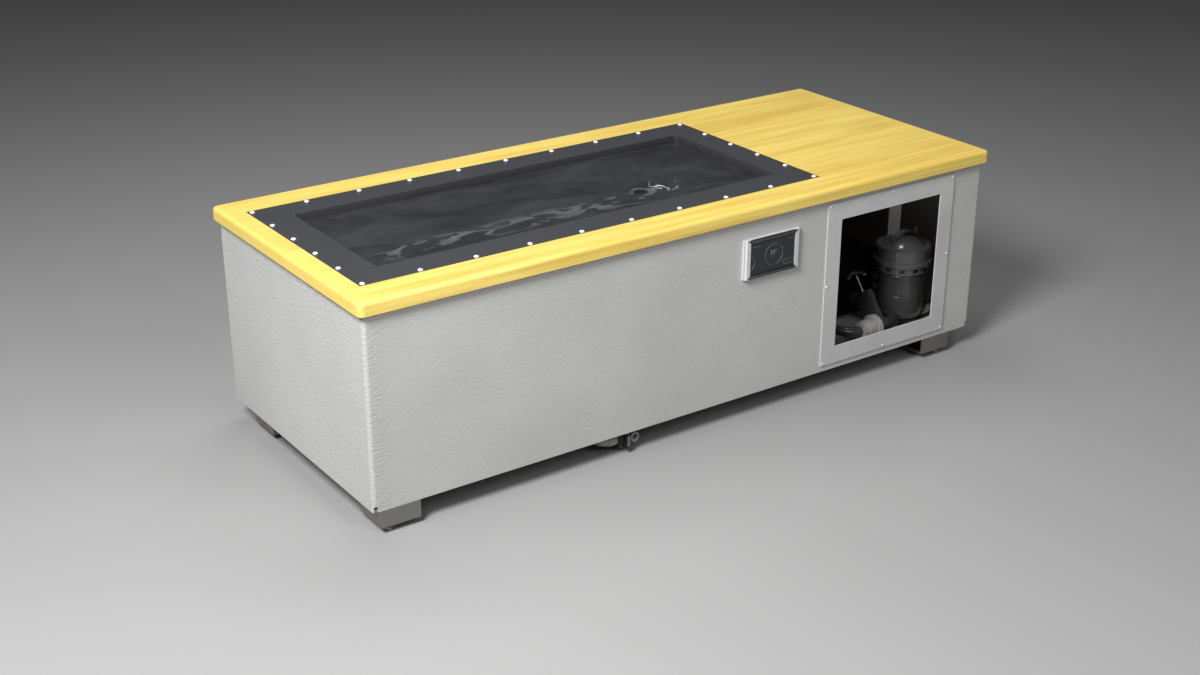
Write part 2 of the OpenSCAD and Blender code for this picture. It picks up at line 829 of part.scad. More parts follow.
function leg_bolt_places() = [
    for (x = [leg_left_x + leg_size - bolt_in, leg_right_x + bolt_in], sy = [-1, 1],
        dy = [-bolt_side, bolt_side]) [x, leg_y(sy) + leg_size / 2 + dy]
];
function leg_y(side) = side < 0 ? -shell_y : shell_y - leg_rear_inset - leg_size;
function foot_x(side) = side < 0 ? leg_left_x + foot_inset
    : leg_right_x + leg_size - foot_inset;
function foot_y(side) = side < 0 ? leg_y(side) + foot_side_inset
    : leg_y(side) + leg_size - foot_side_inset;

module leg(sx, sy) {
    x0 = sx < 0 ? leg_left_x : leg_right_x;
    y0 = leg_y(sy);
    open_x = sx < 0 ? [x0 + leg_sheet, x0 + leg_size + over]
        : [x0 - over, x0 + leg_size - leg_sheet];
    color(grey_tint) difference() {
        block([x0, x0 + leg_size], [y0, y0 + leg_size], [leg_bottom, shell_bottom]);
        block(open_x, [y0 + leg_sheet, y0 + leg_size - leg_sheet],
            [leg_bottom + leg_sheet, shell_bottom - leg_sheet]);
        rod_z(foot_x(sx), foot_y(sy), [leg_bottom - over, leg_bottom + leg_sheet + over],
            foot_screw_diameter / 2 + run_gap);
        for (p = leg_bolt_places())
            rod_z(p[0], p[1], [shell_bottom - leg_sheet - over, shell_bottom + over], bolt_radius + run_gap);
    }
}

module leg_front_left() leg(-1, -1);
module leg_front_right() leg(1, -1);
module leg_rear_left() leg(-1, 1);
module leg_rear_right() leg(1, 1);

// Bolts through leg and floor pan, each with its nut
module leg_bolts() {
    head_z = shell_bottom - leg_sheet - bolt_head_height;
    color(steel_tint) for (p = leg_bolt_places()) translate([p[0], p[1], 0]) {
        translate([0, 0, head_z]) cylinder(r = bolt_head_radius, h = bolt_head_height, $fn = 6);
        translate([0, 0, head_z + bolt_head_height])
            cylinder(r = bolt_radius, h = leg_sheet + pan_thickness + 2 * nut_height);
        translate([0, 0, pan_top]) difference() {
            cylinder(r = nut_radius, h = nut_height, $fn = 6);
            translate([0, 0, -over])
                cylinder(r = bolt_radius + run_gap, h = nut_height + 2 * over);
        }
    }
}

// Levelling foot: a pad with a hexagon and a screw that runs up into the leg
stem_hold = 14;
foot_stem = foot_travel + stem_hold;
foot_hex_height = 2;
module foot(sx, sy) {
    color(grey_tint) translate([foot_x(sx), foot_y(sy), 0]) {
        cylinder(d = foot_diameter, h = foot_pad_height - foot_hex_height);
        cylinder(r = nut_radius, h = foot_pad_height, $fn = 6);
        cylinder(d = foot_screw_diameter, h = leg_bottom + foot_stem);
    }
}

module foot_front_left() foot(-1, -1);
module foot_front_right() foot(1, -1);
module foot_rear_left() foot(-1, 1);
module foot_rear_right() foot(1, 1);

// Lock nuts against the underside of the legs
module foot_nuts() {
    color(steel_tint) for (sx = [-1, 1], sy = [-1, 1])
        translate([foot_x(sx), foot_y(sy), leg_bottom - nut_height]) difference() {
            cylinder(r = nut_radius, h = nut_height, $fn = 6);
            translate([0, 0, -over])
                cylinder(d = foot_screw_diameter + 2 * run_gap, h = nut_height + 2 * over);
        }
}

// Filter: base, pot, cartridge, lid, lock ring and bleed knob
pot_shares = [[0, 0], [0.6, 0], [0.76, 0.02], [0.87, 0.07], [0.94, 0.17], [0.965, 0.3],
    [0.95, 0.5], [0.94, 0.68], [0.96, 0.83], [1, 0.97], [1, 1]];
function pot_points(cut) = [
    for (s = pot_shares)
        [max(0, s[0] * filter_radius - (s[0] > 0 ? cut : 0)),
            s[1] * filter_body_height + (s[1] < 0.1 ? cut : 0)]
];

module filter_base() {
    color(black_tint) translate([filter_x, filter_y, pan_top]) difference() {
        cylinder(r = filter_radius * pot_shares[2][0], h = filter_base_height);
        translate([0, 0, filter_wall])
            cylinder(r = filter_radius * pot_shares[1][0] - 2 * filter_wall, h = filter_base_height);
    }
}

module filter_body() {
    w = filter_wall;
    color(filter_tint) translate([filter_x, filter_y, 0]) difference() {
        union() {
            translate([0, 0, filter_z0]) rotate_extrude()
                polygon(concat(pot_points(0), [[0, filter_body_height]]));
            // rim that goes into the lid, with two flanges that the lock ring runs on
            post([neck_z - w, lid_seat + filter_rim_height], rim_radius - w / 2);
            post([neck_z - w, ring_z0 + w], flange_radius);
            post([lid_seat - w, lid_seat], flange_radius);
        }
        translate([0, 0, filter_z0]) rotate_extrude()
            polygon(concat(pot_points(w), [[0, filter_body_height]]));
        post([neck_z - w - over, lid_seat + filter_rim_height + over], rim_radius - 2 * w);
        rod_y(0, [filter_radius / 2, filter_radius + over], inlet_z(), pipe_bore);
        translate([0, return_y0 - filter_y, 0])
            rod_x([0, filter_radius + over], 0, return_z, pipe_bore);
    }
}
function inlet_z() = filter_z0 + filter_body_height / 2;

module filter_cartridge() {
    cartridge_radius = 52;
    core_radius = 18;
    cap_radius = 30;
    color([0.92, 0.92, 0.90]) translate([filter_x, filter_y, filter_z0]) difference() {
        union() {
            post([3 * filter_wall, filter_body_height + filter_wall], cartridge_radius);
            post([filter_wall, 3 * filter_wall], cap_radius);
        }
        post([0, filter_body_height + 2 * filter_wall], core_radius);
    }
}

module filter_lid() {
    shoulder = 5;
    groove = 22;
    dome_radius = lid_radius - groove;
    fin = 18;
    arch = 64;
    boss = 8;
    tab_width = 15;
    strap = 5;
    arch_z = lid_top - (arch - lid_dome_height - fin);
    tab_angle = 206;
    color(filter_tint) translate([filter_x, filter_y, 0]) difference() {
        union() {
            // flange that the lock ring presses on, and the straight side
            post([lid_seat + lay_gap, lid_seat + lid_flange], lid_radius);
            post([lid_seat + lay_gap, lid_top - shoulder], lid_radius - lid_step);
            post([lid_top - 2 * shoulder, lid_top], lid_radius - shoulder);
            translate([0, 0, lid_top]) dome(dome_radius, lid_dome_height);
            // arched strap across the dome
            intersection() {
                difference() {
                    rod_y(0, [-fin / 2, fin / 2], arch_z, arch);
                    rod_y(0, [-fin, fin], arch_z, arch - strap);
                }
                block([-arch, arch], [-fin, fin], [lid_top, dome_top + fin]);
            }
            rod_z(knob_reach, 0, [lid_top, dome_top + boss / 2], boss);
            rotate([0, 0, tab_angle]) block([lid_radius - 2 * shoulder, lid_radius],
                [-tab_width / 2, tab_width / 2], [ring_z1 + lay_gap, lid_top - shoulder]);
        }
        post([lid_seat - over, lid_top - lid_wall], rim_radius - filter_wall / 2 + lay_gap);
        rod_z(-knob_reach, 0, [lid_top - 2 * lid_wall, dome_top + 2 * fin], knob_stem + run_gap);
    }
}

module filter_lock_ring() {
    window_h = 12;
    window_w = 18;
    lug = 8;
    lug_rise = 1;
    ring_step = 2;
    band = 4;
    color(filter_tint) translate([filter_x, filter_y, 0]) difference() {
        union() {
            post([ring_z0, lid_seat], flange_radius + band);
            post([lid_seat - ring_step, ring_z1], ring_radius - ring_step);
            post([ring_z1 - lug, ring_z1], ring_radius);
            for (i = [0 : 3]) rotate([0, 0, i * 90 + 10])
                block([0, ring_radius + lug_rise], [-lug, lug], [lid_seat - ring_step, ring_z1]);
        }
        post([ring_z0 - over, lid_seat + over], flange_radius + lay_gap);
        post([lid_seat, lid_seat + lid_flange + lay_gap], lid_radius + lay_gap);
        post([lid_seat, ring_z1 + over], lid_radius - lid_step + lay_gap);
        for (i = [0 : ring_windows - 1]) rotate([0, 0, (i + 0.5) * 360 / ring_windows])
            block([rim_radius, ring_radius], [-window_w / 2, window_w / 2],
                [ring_z0 + window_h / 2, ring_z0 + 3 * window_h / 2]);
    }
}

module filter_relief_knob() {
    knob_rise = 4;
    knob_z = dome_top + knob_rise;
    wing = 9;
    wing_t = 5;
    color(filter_tint) translate([filter_x - knob_reach, filter_y, 0]) {
        post([lid_top - lid_wall, knob_z], knob_stem);
        block([-wing, wing], [-wing_t / 2, wing_t / 2], [knob_z, knob_z + wing_t]);
    }
}

// Slice valve, drawn upright about the pipe's axis and then leant back
module valve_frame()
    translate([valve_x, valve_y, valve_z]) rotate([-valve_lean, 0, 0]) children();

module valve_body() {
    half = valve_body_width / 2;
    t = valve_body_thickness / 2;
    cut_share = 0.31;
    cut = valve_body_width * cut_share;
    slot_y = valve_bore_radius + gate_margin + gate_gap;
    color(black_tint) valve_frame() difference() {
        union() {
            rotate([90, 0, 90]) translate([0, 0, -t]) linear_extrude(2 * t) polygon([
                [-half, valve_body_above], [-half, cut - valve_body_below],
                [cut - half, -valve_body_below], [half - cut, -valve_body_below],
                [half, cut - valve_body_below], [half, valve_body_above]
            ]);
            rod_x([t, t + collar_thickness], 0, 0, neck_radius);
            post([valve_body_above, valve_body_above + gate_margin], 2 * rod_radius);
        }
        rod_x([-t - over, t + collar_thickness + over], 0, 0, valve_bore_radius);
        block([-gate_thickness / 2 - gate_gap, gate_thickness / 2 + gate_gap], [-slot_y, slot_y],
            [-valve_bore_radius - gate_margin, valve_body_above - gate_margin]);
        post([0, valve_body_above + gate_margin + over], rod_radius + run_gap);
    }
}

module valve_gate() {
    half = valve_bore_radius + gate_margin;
    gate_lift = 2;
    foot = half - gate_margin + gate_lift;
    top = valve_body_above + gate_margin + valve_rod_length;
    grip_r = 6;
    grip_arc = 60;
    grip_angle = asin(valve_grip_width / 2 / grip_arc);
    color(grey_tint) valve_frame() {
        block([-gate_thickness / 2, gate_thickness / 2], [-half, half], [foot, foot + gate_height]);
        post([foot + gate_height, top], rod_radius);
        translate([0, 0, top - grip_arc]) rotate([90, 0, 0])
            rotate([0, 0, 90 - grip_angle]) rotate_extrude(angle = 2 * grip_angle)
                translate([grip_arc, 0]) circle(grip_r);
    }
}

// Pale collar on the valve's left side, with the neck to the coupling
module valve_collar() {
    color(pale_tint) valve_frame() difference() {
        rod_x([-valve_body_thickness / 2 - collar_thickness, -valve_body_thickness / 2], 0, 0, collar_radius);
        rod_x([-valve_body_thickness - collar_thickness, 0], 0, 0, valve_bore_radius);
    }
}

coupling_shares = [[0, 0.70], [0.10, 0.80], [0.28, 0.92], [0.5, 1], [1, 1]];
module hose_coupling() {
    x0 = coupling_x0;
    color(pale_tint) translate([x0, valve_y, valve_z]) rotate([90, 0, 90]) difference() {
        union() {
            rotate_extrude() polygon(concat(
                [[0, 0]],
                [for (s = coupling_shares) [s[1] * coupling_radius, s[0] * coupling_length]],
                [[0, coupling_length]]
            ));
            cylinder(r = neck_radius, h = coupling_length + band_width + neck_length);
        }
        translate([0, 0, -over]) cylinder(r = hose_radius + run_gap, h = hose_grip + over);
        cylinder(r = hose_radius - hose_wall, h = 2 * coupling_length);
    }
}

module hose_band() {
    x0 = coupling_x0 + coupling_length;
    band_rise = 1;
    color(steel_tint) difference() {
        rod_x([x0, x0 + band_width], valve_y, valve_z, coupling_radius + band_rise);
        rod_x([x0 - over, x0 + band_width + over], valve_y, valve_z, neck_radius + run_gap);
    }
}

// Suction hose, back from the coupling to the port in the bulkhead
hose_rise = suction_z - valve_z;
hose_shift = suction_y - valve_y;
hose_swing = sqrt(hose_rise * hose_rise + hose_shift * hose_shift);
hose_tilt = atan2(hose_rise, hose_shift);
hose_run = hose_start - hose_end;
hose_bend_radius = hose_bend_share * hose_run;
hose_reach = hose_run - 2 * hose_grip;
hose_across = hose_swing - 2 * hose_bend_radius;
hose_bend_angle = atan2(hose_across, hose_reach)
    + asin(2 * hose_bend_radius / norm([hose_reach, hose_across]));

// Stations of its centre line: x to the bulkhead, y across, heading
hose_turns = 7;
hose_sides = 20;
function hose_line() = concat(
    [[0, 0, 0]],
    [for (i = [0 : hose_turns]) let (a = hose_bend_angle * i / hose_turns)
        [hose_grip + hose_bend_radius * sin(a), hose_bend_radius * (1 - cos(a)), a]],
    [for (i = [hose_turns : -1 : 0]) let (a = hose_bend_angle * i / hose_turns)
        [hose_run - hose_grip - hose_bend_radius * sin(a), hose_swing - hose_bend_radius * (1 - cos(a)), a]],
    [[hose_run, hose_swing, 0]]
);
function hose_loop(s, radius) = [
    for (j = [0 : hose_sides - 1]) let (b = 360 * j / hose_sides)
        [s[0] - sin(s[2]) * radius * cos(b), s[1] + cos(s[2]) * radius * cos(b), radius * sin(b)]
];

module suction_hose() {
    line = hose_line();
    n = hose_sides;
    last = len(line) - 1;
    inner = n * (last + 1);
    outside = [for (s = line) each hose_loop(s, hose_radius)];
    inside = [for (s = line) each hose_loop(s, hose_radius - hose_wall)];
    faces = [for (i = [0 : last - 1], j = [0 : n - 1]) let (k = (j + 1) % n) each [
        [i * n + j, i * n + k, i * n + n + k], [i * n + j, i * n + n + k, i * n + n + j],
        [inner + i * n + j, inner + i * n + n + k, inner + i * n + k],
        [inner + i * n + j, inner + i * n + n + j, inner + i * n + n + k]
    ]];
    ends = [for (j = [0 : n - 1]) let (k = (j + 1) % n, e = last * n) each [
        [j, inner + k, k], [j, inner + j, inner + k],
        [e + j, e + k, inner + e + k], [e + j, inner + e + k, inner + e + j]
    ]];
    color(black_tint) translate([hose_start, valve_y, valve_z]) rotate([hose_tilt, 0, 0])
        mirror([1, 0, 0]) polyhedron(concat(outside, inside), concat(faces, ends), 4);
}

// Pipe from the valve into the chiller's case
module chiller_pipe() {
    x0 = valve_right + collar_thickness;
    nut = 28;
    nut_length = 14;
    path = [[x0, valve_y, valve_z], [port_x, valve_y, valve_z], [port_x, pump_y0(), valve_z]];
    color(grey_tint) {
        pipe_run(path, valve_bore_radius, valve_bore_radius - pipe_wall, pipe_bend + valve_bore_radius);
        difference() {
            rod_y(port_x, [chiller_y0 - chiller_sheet - nut_length, chiller_y0 - chiller_sheet], valve_z, nut);
            rod_y(port_x, [chiller_y0 - 2 * nut_length, chiller_y0], valve_z, valve_bore_radius - over);
        }
    }
}
pump_inset = 20;
function pump_y0() = chiller_y0 + pump_inset;

// Chiller: a sheet case on rubber feet with the working parts inside
module chiller_case() {
    s = chiller_sheet;
    fan_hole = fan_radius + fan_margin / 2;
    lip = 6;
    color(black_tint) difference() {
        union() {
            block([chiller_x0, chiller_x1], [chiller_y0, chiller_y1], [chiller_z0, chiller_z1 - lip]);
            block([chiller_x0 - s, chiller_x1 + s], [chiller_y0 - s, chiller_y1 + s],
                [chiller_z1 - 2 * lip, chiller_z1]);
        }
        block([chiller_x0 + s, chiller_x1 - s], [chiller_y0 + s, chiller_y1 - s],
            [chiller_z0 + s, chiller_z1 - s]);
        rod_y(port_x, [chiller_y0 - over, chiller_y0 + s + over], valve_z, valve_bore_radius + lay_gap);
        rod_y(fan_x(), [chiller_y1 - s - over, chiller_y1 + s + over], fan_z(), fan_hole);
        rod_x([chiller_x1 - s - over, chiller_x1 + s + over], chiller_out_y(), inlet_z(),
            pipe_radius + lay_gap);
    }
}
fan_from_side = 105;
fan_margin = 14;
fan_tip_gap = 4;
chiller_out = 112;
function fan_x() = chiller_x0 + fan_from_side;
function fan_z() = (chiller_z0 + chiller_z1) / 2;
function chiller_out_y() = chiller_y0 + chiller_out;

module chiller_feet() {
    foot_r = 16;
    inset = 40;
    color(black_tint) for (x = [chiller_x0 + inset, chiller_x1 - inset],
        y = [chiller_y0 + inset, chiller_y1 - inset])
        rod_z(x, y, [pan_top, chiller_z0], foot_r);
}

module chiller_compressor() {
    r = 52;
    rise = 30;
    neck = 9;
    z0 = chiller_z0 + chiller_sheet;
    body_share = 0.62;
    body = chiller_height * body_share;
    from_side = 72;
    from_front = 300;
    color(black_tint) translate([chiller_x1 - from_side, chiller_y0 + from_front, z0]) {
        cylinder(r = r, h = body);
        translate([0, 0, body]) dome(r, rise);
        cylinder(r = r + neck, h = neck);
    }
}

condenser_depth = 30;
shroud_depth = 50;
condenser_y = chiller_y1 - chiller_sheet - lay_gap - condenser_depth;
module chiller_condenser() {
    half = fan_radius + fan_margin;
    fin_t = 1;
    plate = 3;
    tube = 4;
    z = [fan_z() - half, fan_z() + half];
    pitch = (2 * half - fin_t) / (condenser_fins - 1);
    shroud_y = [condenser_y - shroud_depth, condenser_y];
    color(copper_tint) translate([fan_x(), 0, 0]) {
        for (i = [0 : condenser_fins - 1])
            block([-half + i * pitch, -half + i * pitch + fin_t],
                [condenser_y, condenser_y + condenser_depth], z);
        for (k = [1 : 2 : 7], y = [condenser_depth * 0.3, condenser_depth * 0.7])
            rod_x([-half, half], condenser_y + y, z[0] + k * half / 4, tube);
        // fan shroud with the bar that carries the motor
        difference() {
            block([-half, half], shroud_y, [chiller_z0 + chiller_sheet, z[1]]);
            rod_y(0, [shroud_y[0] - over, shroud_y[1] + over], fan_z(), fan_radius + fan_tip_gap);
        }
        difference() {
            block([-half, half], [shroud_y[0], shroud_y[0] + plate], [fan_z() - 3 * tube, fan_z() + 3 * tube]);
            rod_y(0, [shroud_y[0] - over, shroud_y[0] + plate + over], fan_z(), 2 * tube);
        }
    }
}

module chiller_exchanger() {
    r = 42;
    cap = 6;
    from_side = 62;
    body_length = 200;
    x = chiller_x0 + from_side;
    y = [pump_y0(), pump_y0() + body_length];
    z = chiller_z0 + chiller_sheet + r + cap;
    color(pale_tint) {
        rod_y(x, y, z, r);
        for (e = [y[0], y[1] - 3 * cap]) rod_y(x, [e, e + 3 * cap], z, r + cap / 2);
        block([x - r / 2, x + r / 2], [y[0] + r, y[1] - r], [chiller_z0 + chiller_sheet, z]);
    }
}

// Fan with its shaft, and the motor that turns it
fan_shaft = 4;
fan_hub = 22;
motor_radius = 26;
motor_length = 46;
shaft_seat = 10;
motor_y = [condenser_y - shroud_depth - motor_length, condenser_y - shroud_depth];
module chiller_fan() {
    blade_t = 3;
    blade_pitch = 28;
    hub_gap = 12;
    hub_length = 26;
    blade_root = 4;
    hub_y = [condenser_y - hub_gap - hub_length, condenser_y - hub_gap];
    color(black_tint) translate([fan_x(), 0, fan_z()]) {
        rod_y(0, hub_y, 0, fan_hub);
        rod_y(0, [motor_y[0] + shaft_seat, hub_y[0]], 0, fan_shaft);
        for (i = [0 : fan_blades - 1]) translate([0, (hub_y[0] + hub_y[1]) / 2, 0])
            rotate([0, i * 360 / fan_blades, 0])
                translate([fan_hub - blade_root, 0, 0]) rotate([blade_pitch, 0, 0])
                    translate([0, -blade_t / 2, -fan_hub])
                        cube([fan_radius - fan_hub, blade_t, 2 * fan_hub]);
    }
}

module fan_motor() {
    color(steel_tint) translate([fan_x(), 0, fan_z()]) difference() {
        rod_y(0, motor_y, 0, motor_radius);
        rod_y(0, [motor_y[0] + shaft_seat - over, motor_y[1] + over], 0, fan_shaft + run_gap);
    }
}

// Circulation pump inside the case
pump_r = 38;
pump_chamber = 30;
pump_volute = 44;
pump_wall = 8;
pump_motor = 130;
rotor_gap = 4;
rotor_clear = 3;
module pump_body() {
    y0 = pump_y0();
    y1 = y0 + pump_volute;
    y2 = y1 + pump_motor;
    motor = pump_r - rotor_gap;
    foot_w = 30;
    outlet_rise = 14;
    motor_end = 20;
    color(black_tint) difference() {
        union() {
            rod_y(port_x, [y0, y1], valve_z, pump_r);
            rod_y(port_x, [y1, y2], valve_z, motor);
            block([port_x - foot_w, port_x + foot_w], [y1, y2 - pump_volute],
                [chiller_z0 + chiller_sheet, valve_z]);
            rod_z(port_x + pump_chamber - pipe_bore / 2, (y0 + y1) / 2,
                [valve_z, valve_z + pump_r + outlet_rise], pipe_bore / 1.5);
        }
        rod_y(port_x, [y0 - over, y0 + pump_wall], valve_z, valve_bore_radius - pipe_wall);
        rod_y(port_x, [y0 + pump_wall - over, y1 - pump_wall], valve_z, pump_chamber);
        rod_y(port_x, [y0 + pump_wall, y2 - motor_end], valve_z, fan_shaft + run_gap);
    }
}

module pump_rotor() {
    wheel = pump_chamber - rotor_clear;
    wheel_t = 4;
    vane = 2;
    vane_length = 14;
    shaft_length = 132;
    y0 = pump_y0() + pump_wall + rotor_gap;
    y1 = y0 + vane + vane_length;
    color(grey_tint) translate([port_x, 0, valve_z]) {
        rod_y(0, [y0, y0 + shaft_length], 0, fan_shaft);
        rod_y(0, [y1, y1 + wheel_t], 0, wheel);
        for (i = [0 : 5]) rotate([0, i * 60, 0])
            block([0, wheel - vane], [y0 + vane, y1 + over / 2], [-vane / 2, vane / 2]);
    }
}

// Pipes from chiller to filter, and from filter to trough
module return_pipe() {
    entry = 20;
    inlet_share = 0.93;
    outlet_share = 0.7;
    pass = [
        [filter_x, filter_y + filter_radius * inlet_share, inlet_z()],
        [filter_x, chiller_out_y(), inlet_z()],
        [chiller_x1 - entry, chiller_out_y(), inlet_z()]
    ];
    back = [
        [filter_x + filter_radius * outlet_share, return_y0, return_z],
        [return_x, return_y0, return_z],
        [return_x, return_back, return_z],
        [return_rise_x, return_back, return_z],
        [return_rise_x, return_back, jet_z],
        [return_rise_x, jet_y, jet_z],
        [bulkhead_x[1] + jet_stub, jet_y, jet_z]
    ];
    color(pale_tint) {
        difference() {
            pipe_run(pass, pipe_radius, pipe_bore, pipe_bend);
            filter_room();
        }
        difference() {
            pipe_run(back, pipe_radius, pipe_bore, pipe_bend);
            filter_room();
        }
    }
}

// Space of the filter's pot, with a hair of clearance
module filter_room()
    translate([filter_x, filter_y, filter_z0]) rotate_extrude()
        polygon(concat(pot_points(-lay_gap / 3), [[0, filter_body_height]]));

module mixing_chamber() {
    cap = 8;
    from_elbow = 26;
    y = return_y0 + from_elbow;
    z0 = return_z + pipe_radius + run_gap;
    color(filter_tint) translate([return_x, y, 0]) {
        post([z0 + cap, z0 + chamber_height], chamber_radius);
        post([z0, z0 + cap], chamber_radius - cap);
    }
}

// Fittings through the trough's wall
jet_barrel = 22;
jet_ball = 17;
drain_cup = 24;
fitting_lip = 5;
slit_share = 0.7;

module suction_fitting() {
    bars = 5;
    slit = 3;
    nut_length = 12;
    nut_step = 6;
    x0 = trough_x1 - fitting_lip;
    color(liner_tint) difference() {
        union() {
            rod_x([x0, trough_x1], suction_y, suction_z, fitting_flange);
            rod_x([x0, hose_end], suction_y, suction_z, hose_radius);
            rod_x([bulkhead_x[1], bulkhead_x[1] + nut_length], suction_y, suction_z, fitting_flange - nut_step);
        }
        rod_x([x0 + fitting_lip, hose_end + over], suction_y, suction_z, hose_radius - hose_wall);
        for (i = [-bars / 2 + 0.5 : bars / 2])
            block([x0 - over, x0 + fitting_lip + over],
                [suction_y + i * fitting_lip - slit / 2, suction_y + i * fitting_lip + slit / 2],
                [suction_z - pipe_bore * slit_share, suction_z + pipe_bore * slit_share]);
    }
}

// Points of an arc about a centre on the axis, as radius and height
function ball_points(centre, radius, from, to) =
    [for (i = [0 : ball_steps]) let (a = from + (to - from) * i / ball_steps)
        [radius * cos(a), centre + radius * sin(a)]];
ball_steps = 12;
jet_centre = jet_ball / 3;
jet_hold = 2;
jet_throat = pipe_bore - jet_hold;
jet_bore = 7;
jet_snout = 10;

module jet_fitting() {
    room = jet_ball + lay_gap;
    mouth = jet_ball - jet_hold;
    end = bulkhead_x[1] + jet_stub - trough_x1;
    color(liner_tint) translate([trough_x1, jet_y, jet_z]) rotate([0, 90, 0])
        rotate_extrude() polygon(concat(
            [[mouth, -fitting_lip], [fitting_flange, -fitting_lip], [fitting_flange, 0],
                [jet_barrel, 0], [jet_barrel, end], [jet_throat, end]],
            ball_points(jet_centre, room, acos(jet_throat / room), -acos(mouth / room))
        ));
}

module jet_nozzle() {
    tab = 3;
    color(pale_tint) translate([trough_x1, jet_y, jet_z]) rotate([0, 90, 0]) {
        rotate_extrude() polygon(concat(
            [[jet_bore, -3 * fitting_lip], [jet_snout, -3 * fitting_lip]],
            ball_points(jet_centre, jet_ball, -acos(jet_snout / jet_ball), acos(jet_bore / jet_ball))
        ));
        for (side = [-1, 1]) translate([side * jet_snout, 0, -2.5 * fitting_lip])
            cube([2 * tab, tab, fitting_lip], center = true);
    }
}

// Drain: strainer in the trough's floor, pipe to the front, valve and outlet
module drain_pipe() {
    cup_h = 10;
    rim = 3;
    pipe_set = 1;
    socket_lap = 6;
    ring = 5;
    socket = [drain_x + pipe_bend - socket_lap, drain_slab_x - drain_slab / 2 - drain_socket];
    spout_x = drain_slab_x + drain_slab / 2 + spout_reach;
    path = [
        [drain_x, 0, trough_floor + rim - pipe_set],
        [drain_x, 0, drain_height],
        [drain_x, drain_y, drain_height],
        [socket[1], drain_y, drain_height]
    ];
    spout = [
        [drain_slab_x + drain_slab / 2, drain_y, drain_height],
        [spout_x, drain_y, drain_height],
        [spout_x, -shell_y + spout_set, drain_height]
    ];
    color(pale_tint) {
        pipe_run(path, pipe_radius, pipe_bore, pipe_bend);
        difference() {
            union() {
                rod_z(drain_x, 0, [trough_floor, trough_floor + rim], fitting_flange);
                rod_z(drain_x, 0, [trough_under - cup_h, trough_under], drain_cup);
            }
            rod_z(drain_x, 0, [trough_under - 2 * cup_h, trough_floor + 2 * cup_h],
                pipe_radius - pipe_wall / 2);
        }
        difference() {
            // socket of the elbow that shows under the front edge
            rod_x(socket, drain_y, drain_height, pipe_radius + pipe_wall);
            rod_x([drain_x, drain_slab_x], drain_y, drain_height, pipe_radius - pipe_wall / 2);
            rod_y(drain_x, [drain_y, drain_y + 4 * pipe_radius], drain_height, pipe_bore);
        }
        pipe_run(spout, outlet_radius, outlet_radius - pipe_wall, outlet_radius + over);
        difference() {
            rod_y(spout_x, [spout[2][1], spout[2][1] + ring], drain_height, outlet_radius + pipe_wall / 2);
            rod_y(spout_x, [spout[2][1] - over, spout[2][1] + ring + over], drain_height,
                outlet_radius - pipe_wall / 2);
        }
    }
}

module drain_valve() {
    x = [drain_slab_x - drain_slab / 2, drain_slab_x + drain_slab / 2];
    reach = 40;
    below = 25;
    above = 28;
    collar_l = 18;
    y = [-shell_y + drain_slab_set, drain_y + reach];
    z = [drain_height - below, drain_height + above];
    pocket = drain_pocket;
    color(black_tint) difference() {
        union() {
            block(x, y, z);
            rod_x([x[0] - collar_l, x[0]], drain_y, drain_height, drain_collar_radius);
        }
        rod_x([x[0] - collar_l - over, x[0] - drain_socket + run_gap], drain_y, drain_height,
            pipe_radius + pipe_wall + run_gap);
        rod_x([x[0] - collar_l, x[1] + over], drain_y, drain_height, pipe_bore - pipe_wall);
        block([drain_slab_x - drain_gate_t / 2 - gate_gap, drain_slab_x + drain_gate_t / 2 + gate_gap],
            [y[0] - over, drain_y + pocket + gate_gap],
            [drain_height - pocket - gate_gap, drain_height + pocket + gate_gap]);
    }
}

module drain_gate() {
    pocket = drain_pocket;
    front = -shell_y + drain_slab_set - lay_gap;
    strip = 4;
    color(grey_tint) {
        block([drain_slab_x - drain_gate_t / 2, drain_slab_x + drain_gate_t / 2],
            [front, drain_y + pocket], [drain_height - pocket, drain_height + pocket]);
        block([drain_slab_x - strip, drain_slab_x + strip], [front - strip, front],
            [drain_height - pocket, drain_height + pocket]);
    }
}

// Control electronics on the bulkhead
module control_box() {
    depth = 90;
    width = 220;
    height = 230;
    lid = 8;
    drop = 40;
    x0 = bulkhead_x[1];
    y0 = jet_y - fitting_flange - width;
    z0 = ceiling - height - drop;
    color(plate_tint) {
        block([x0, x0 + depth], [y0, y0 + width], [z0, z0 + height]);
        block([x0 + depth, x0 + depth + lid], [y0 - lid / 2, y0 + width + lid / 2],
            [z0 - lid / 2, z0 + height + lid / 2]);
    }
}

// Louvred vent in the back, behind the chiller
function vent_x() = [fan_x() - vent_width / 2, fan_x() + vent_width / 2];
vent_rise = 110;
function vent_z() = [shell_bottom + vent_rise, shell_bottom + vent_rise + vent_height];
vent_plate = 4;
vent_margin = 20;
module vent_grille() {
    x = vent_x();
    z = vent_z();
    pitch = vent_height / vent_slots;
    color(black_tint) difference() {
        block([x[0] - vent_margin, x[1] + vent_margin], [shell_y, shell_y + vent_plate],
            [z[0] - vent_margin, z[1] + vent_margin]);
        for (i = [0 : vent_slots - 1])
            block([x[0], x[1]], [shell_y - over, shell_y + vent_plate + over],
                [z[0] + (i + 0.25) * pitch, z[0] + (i + 0.75) * pitch]);
    }
}

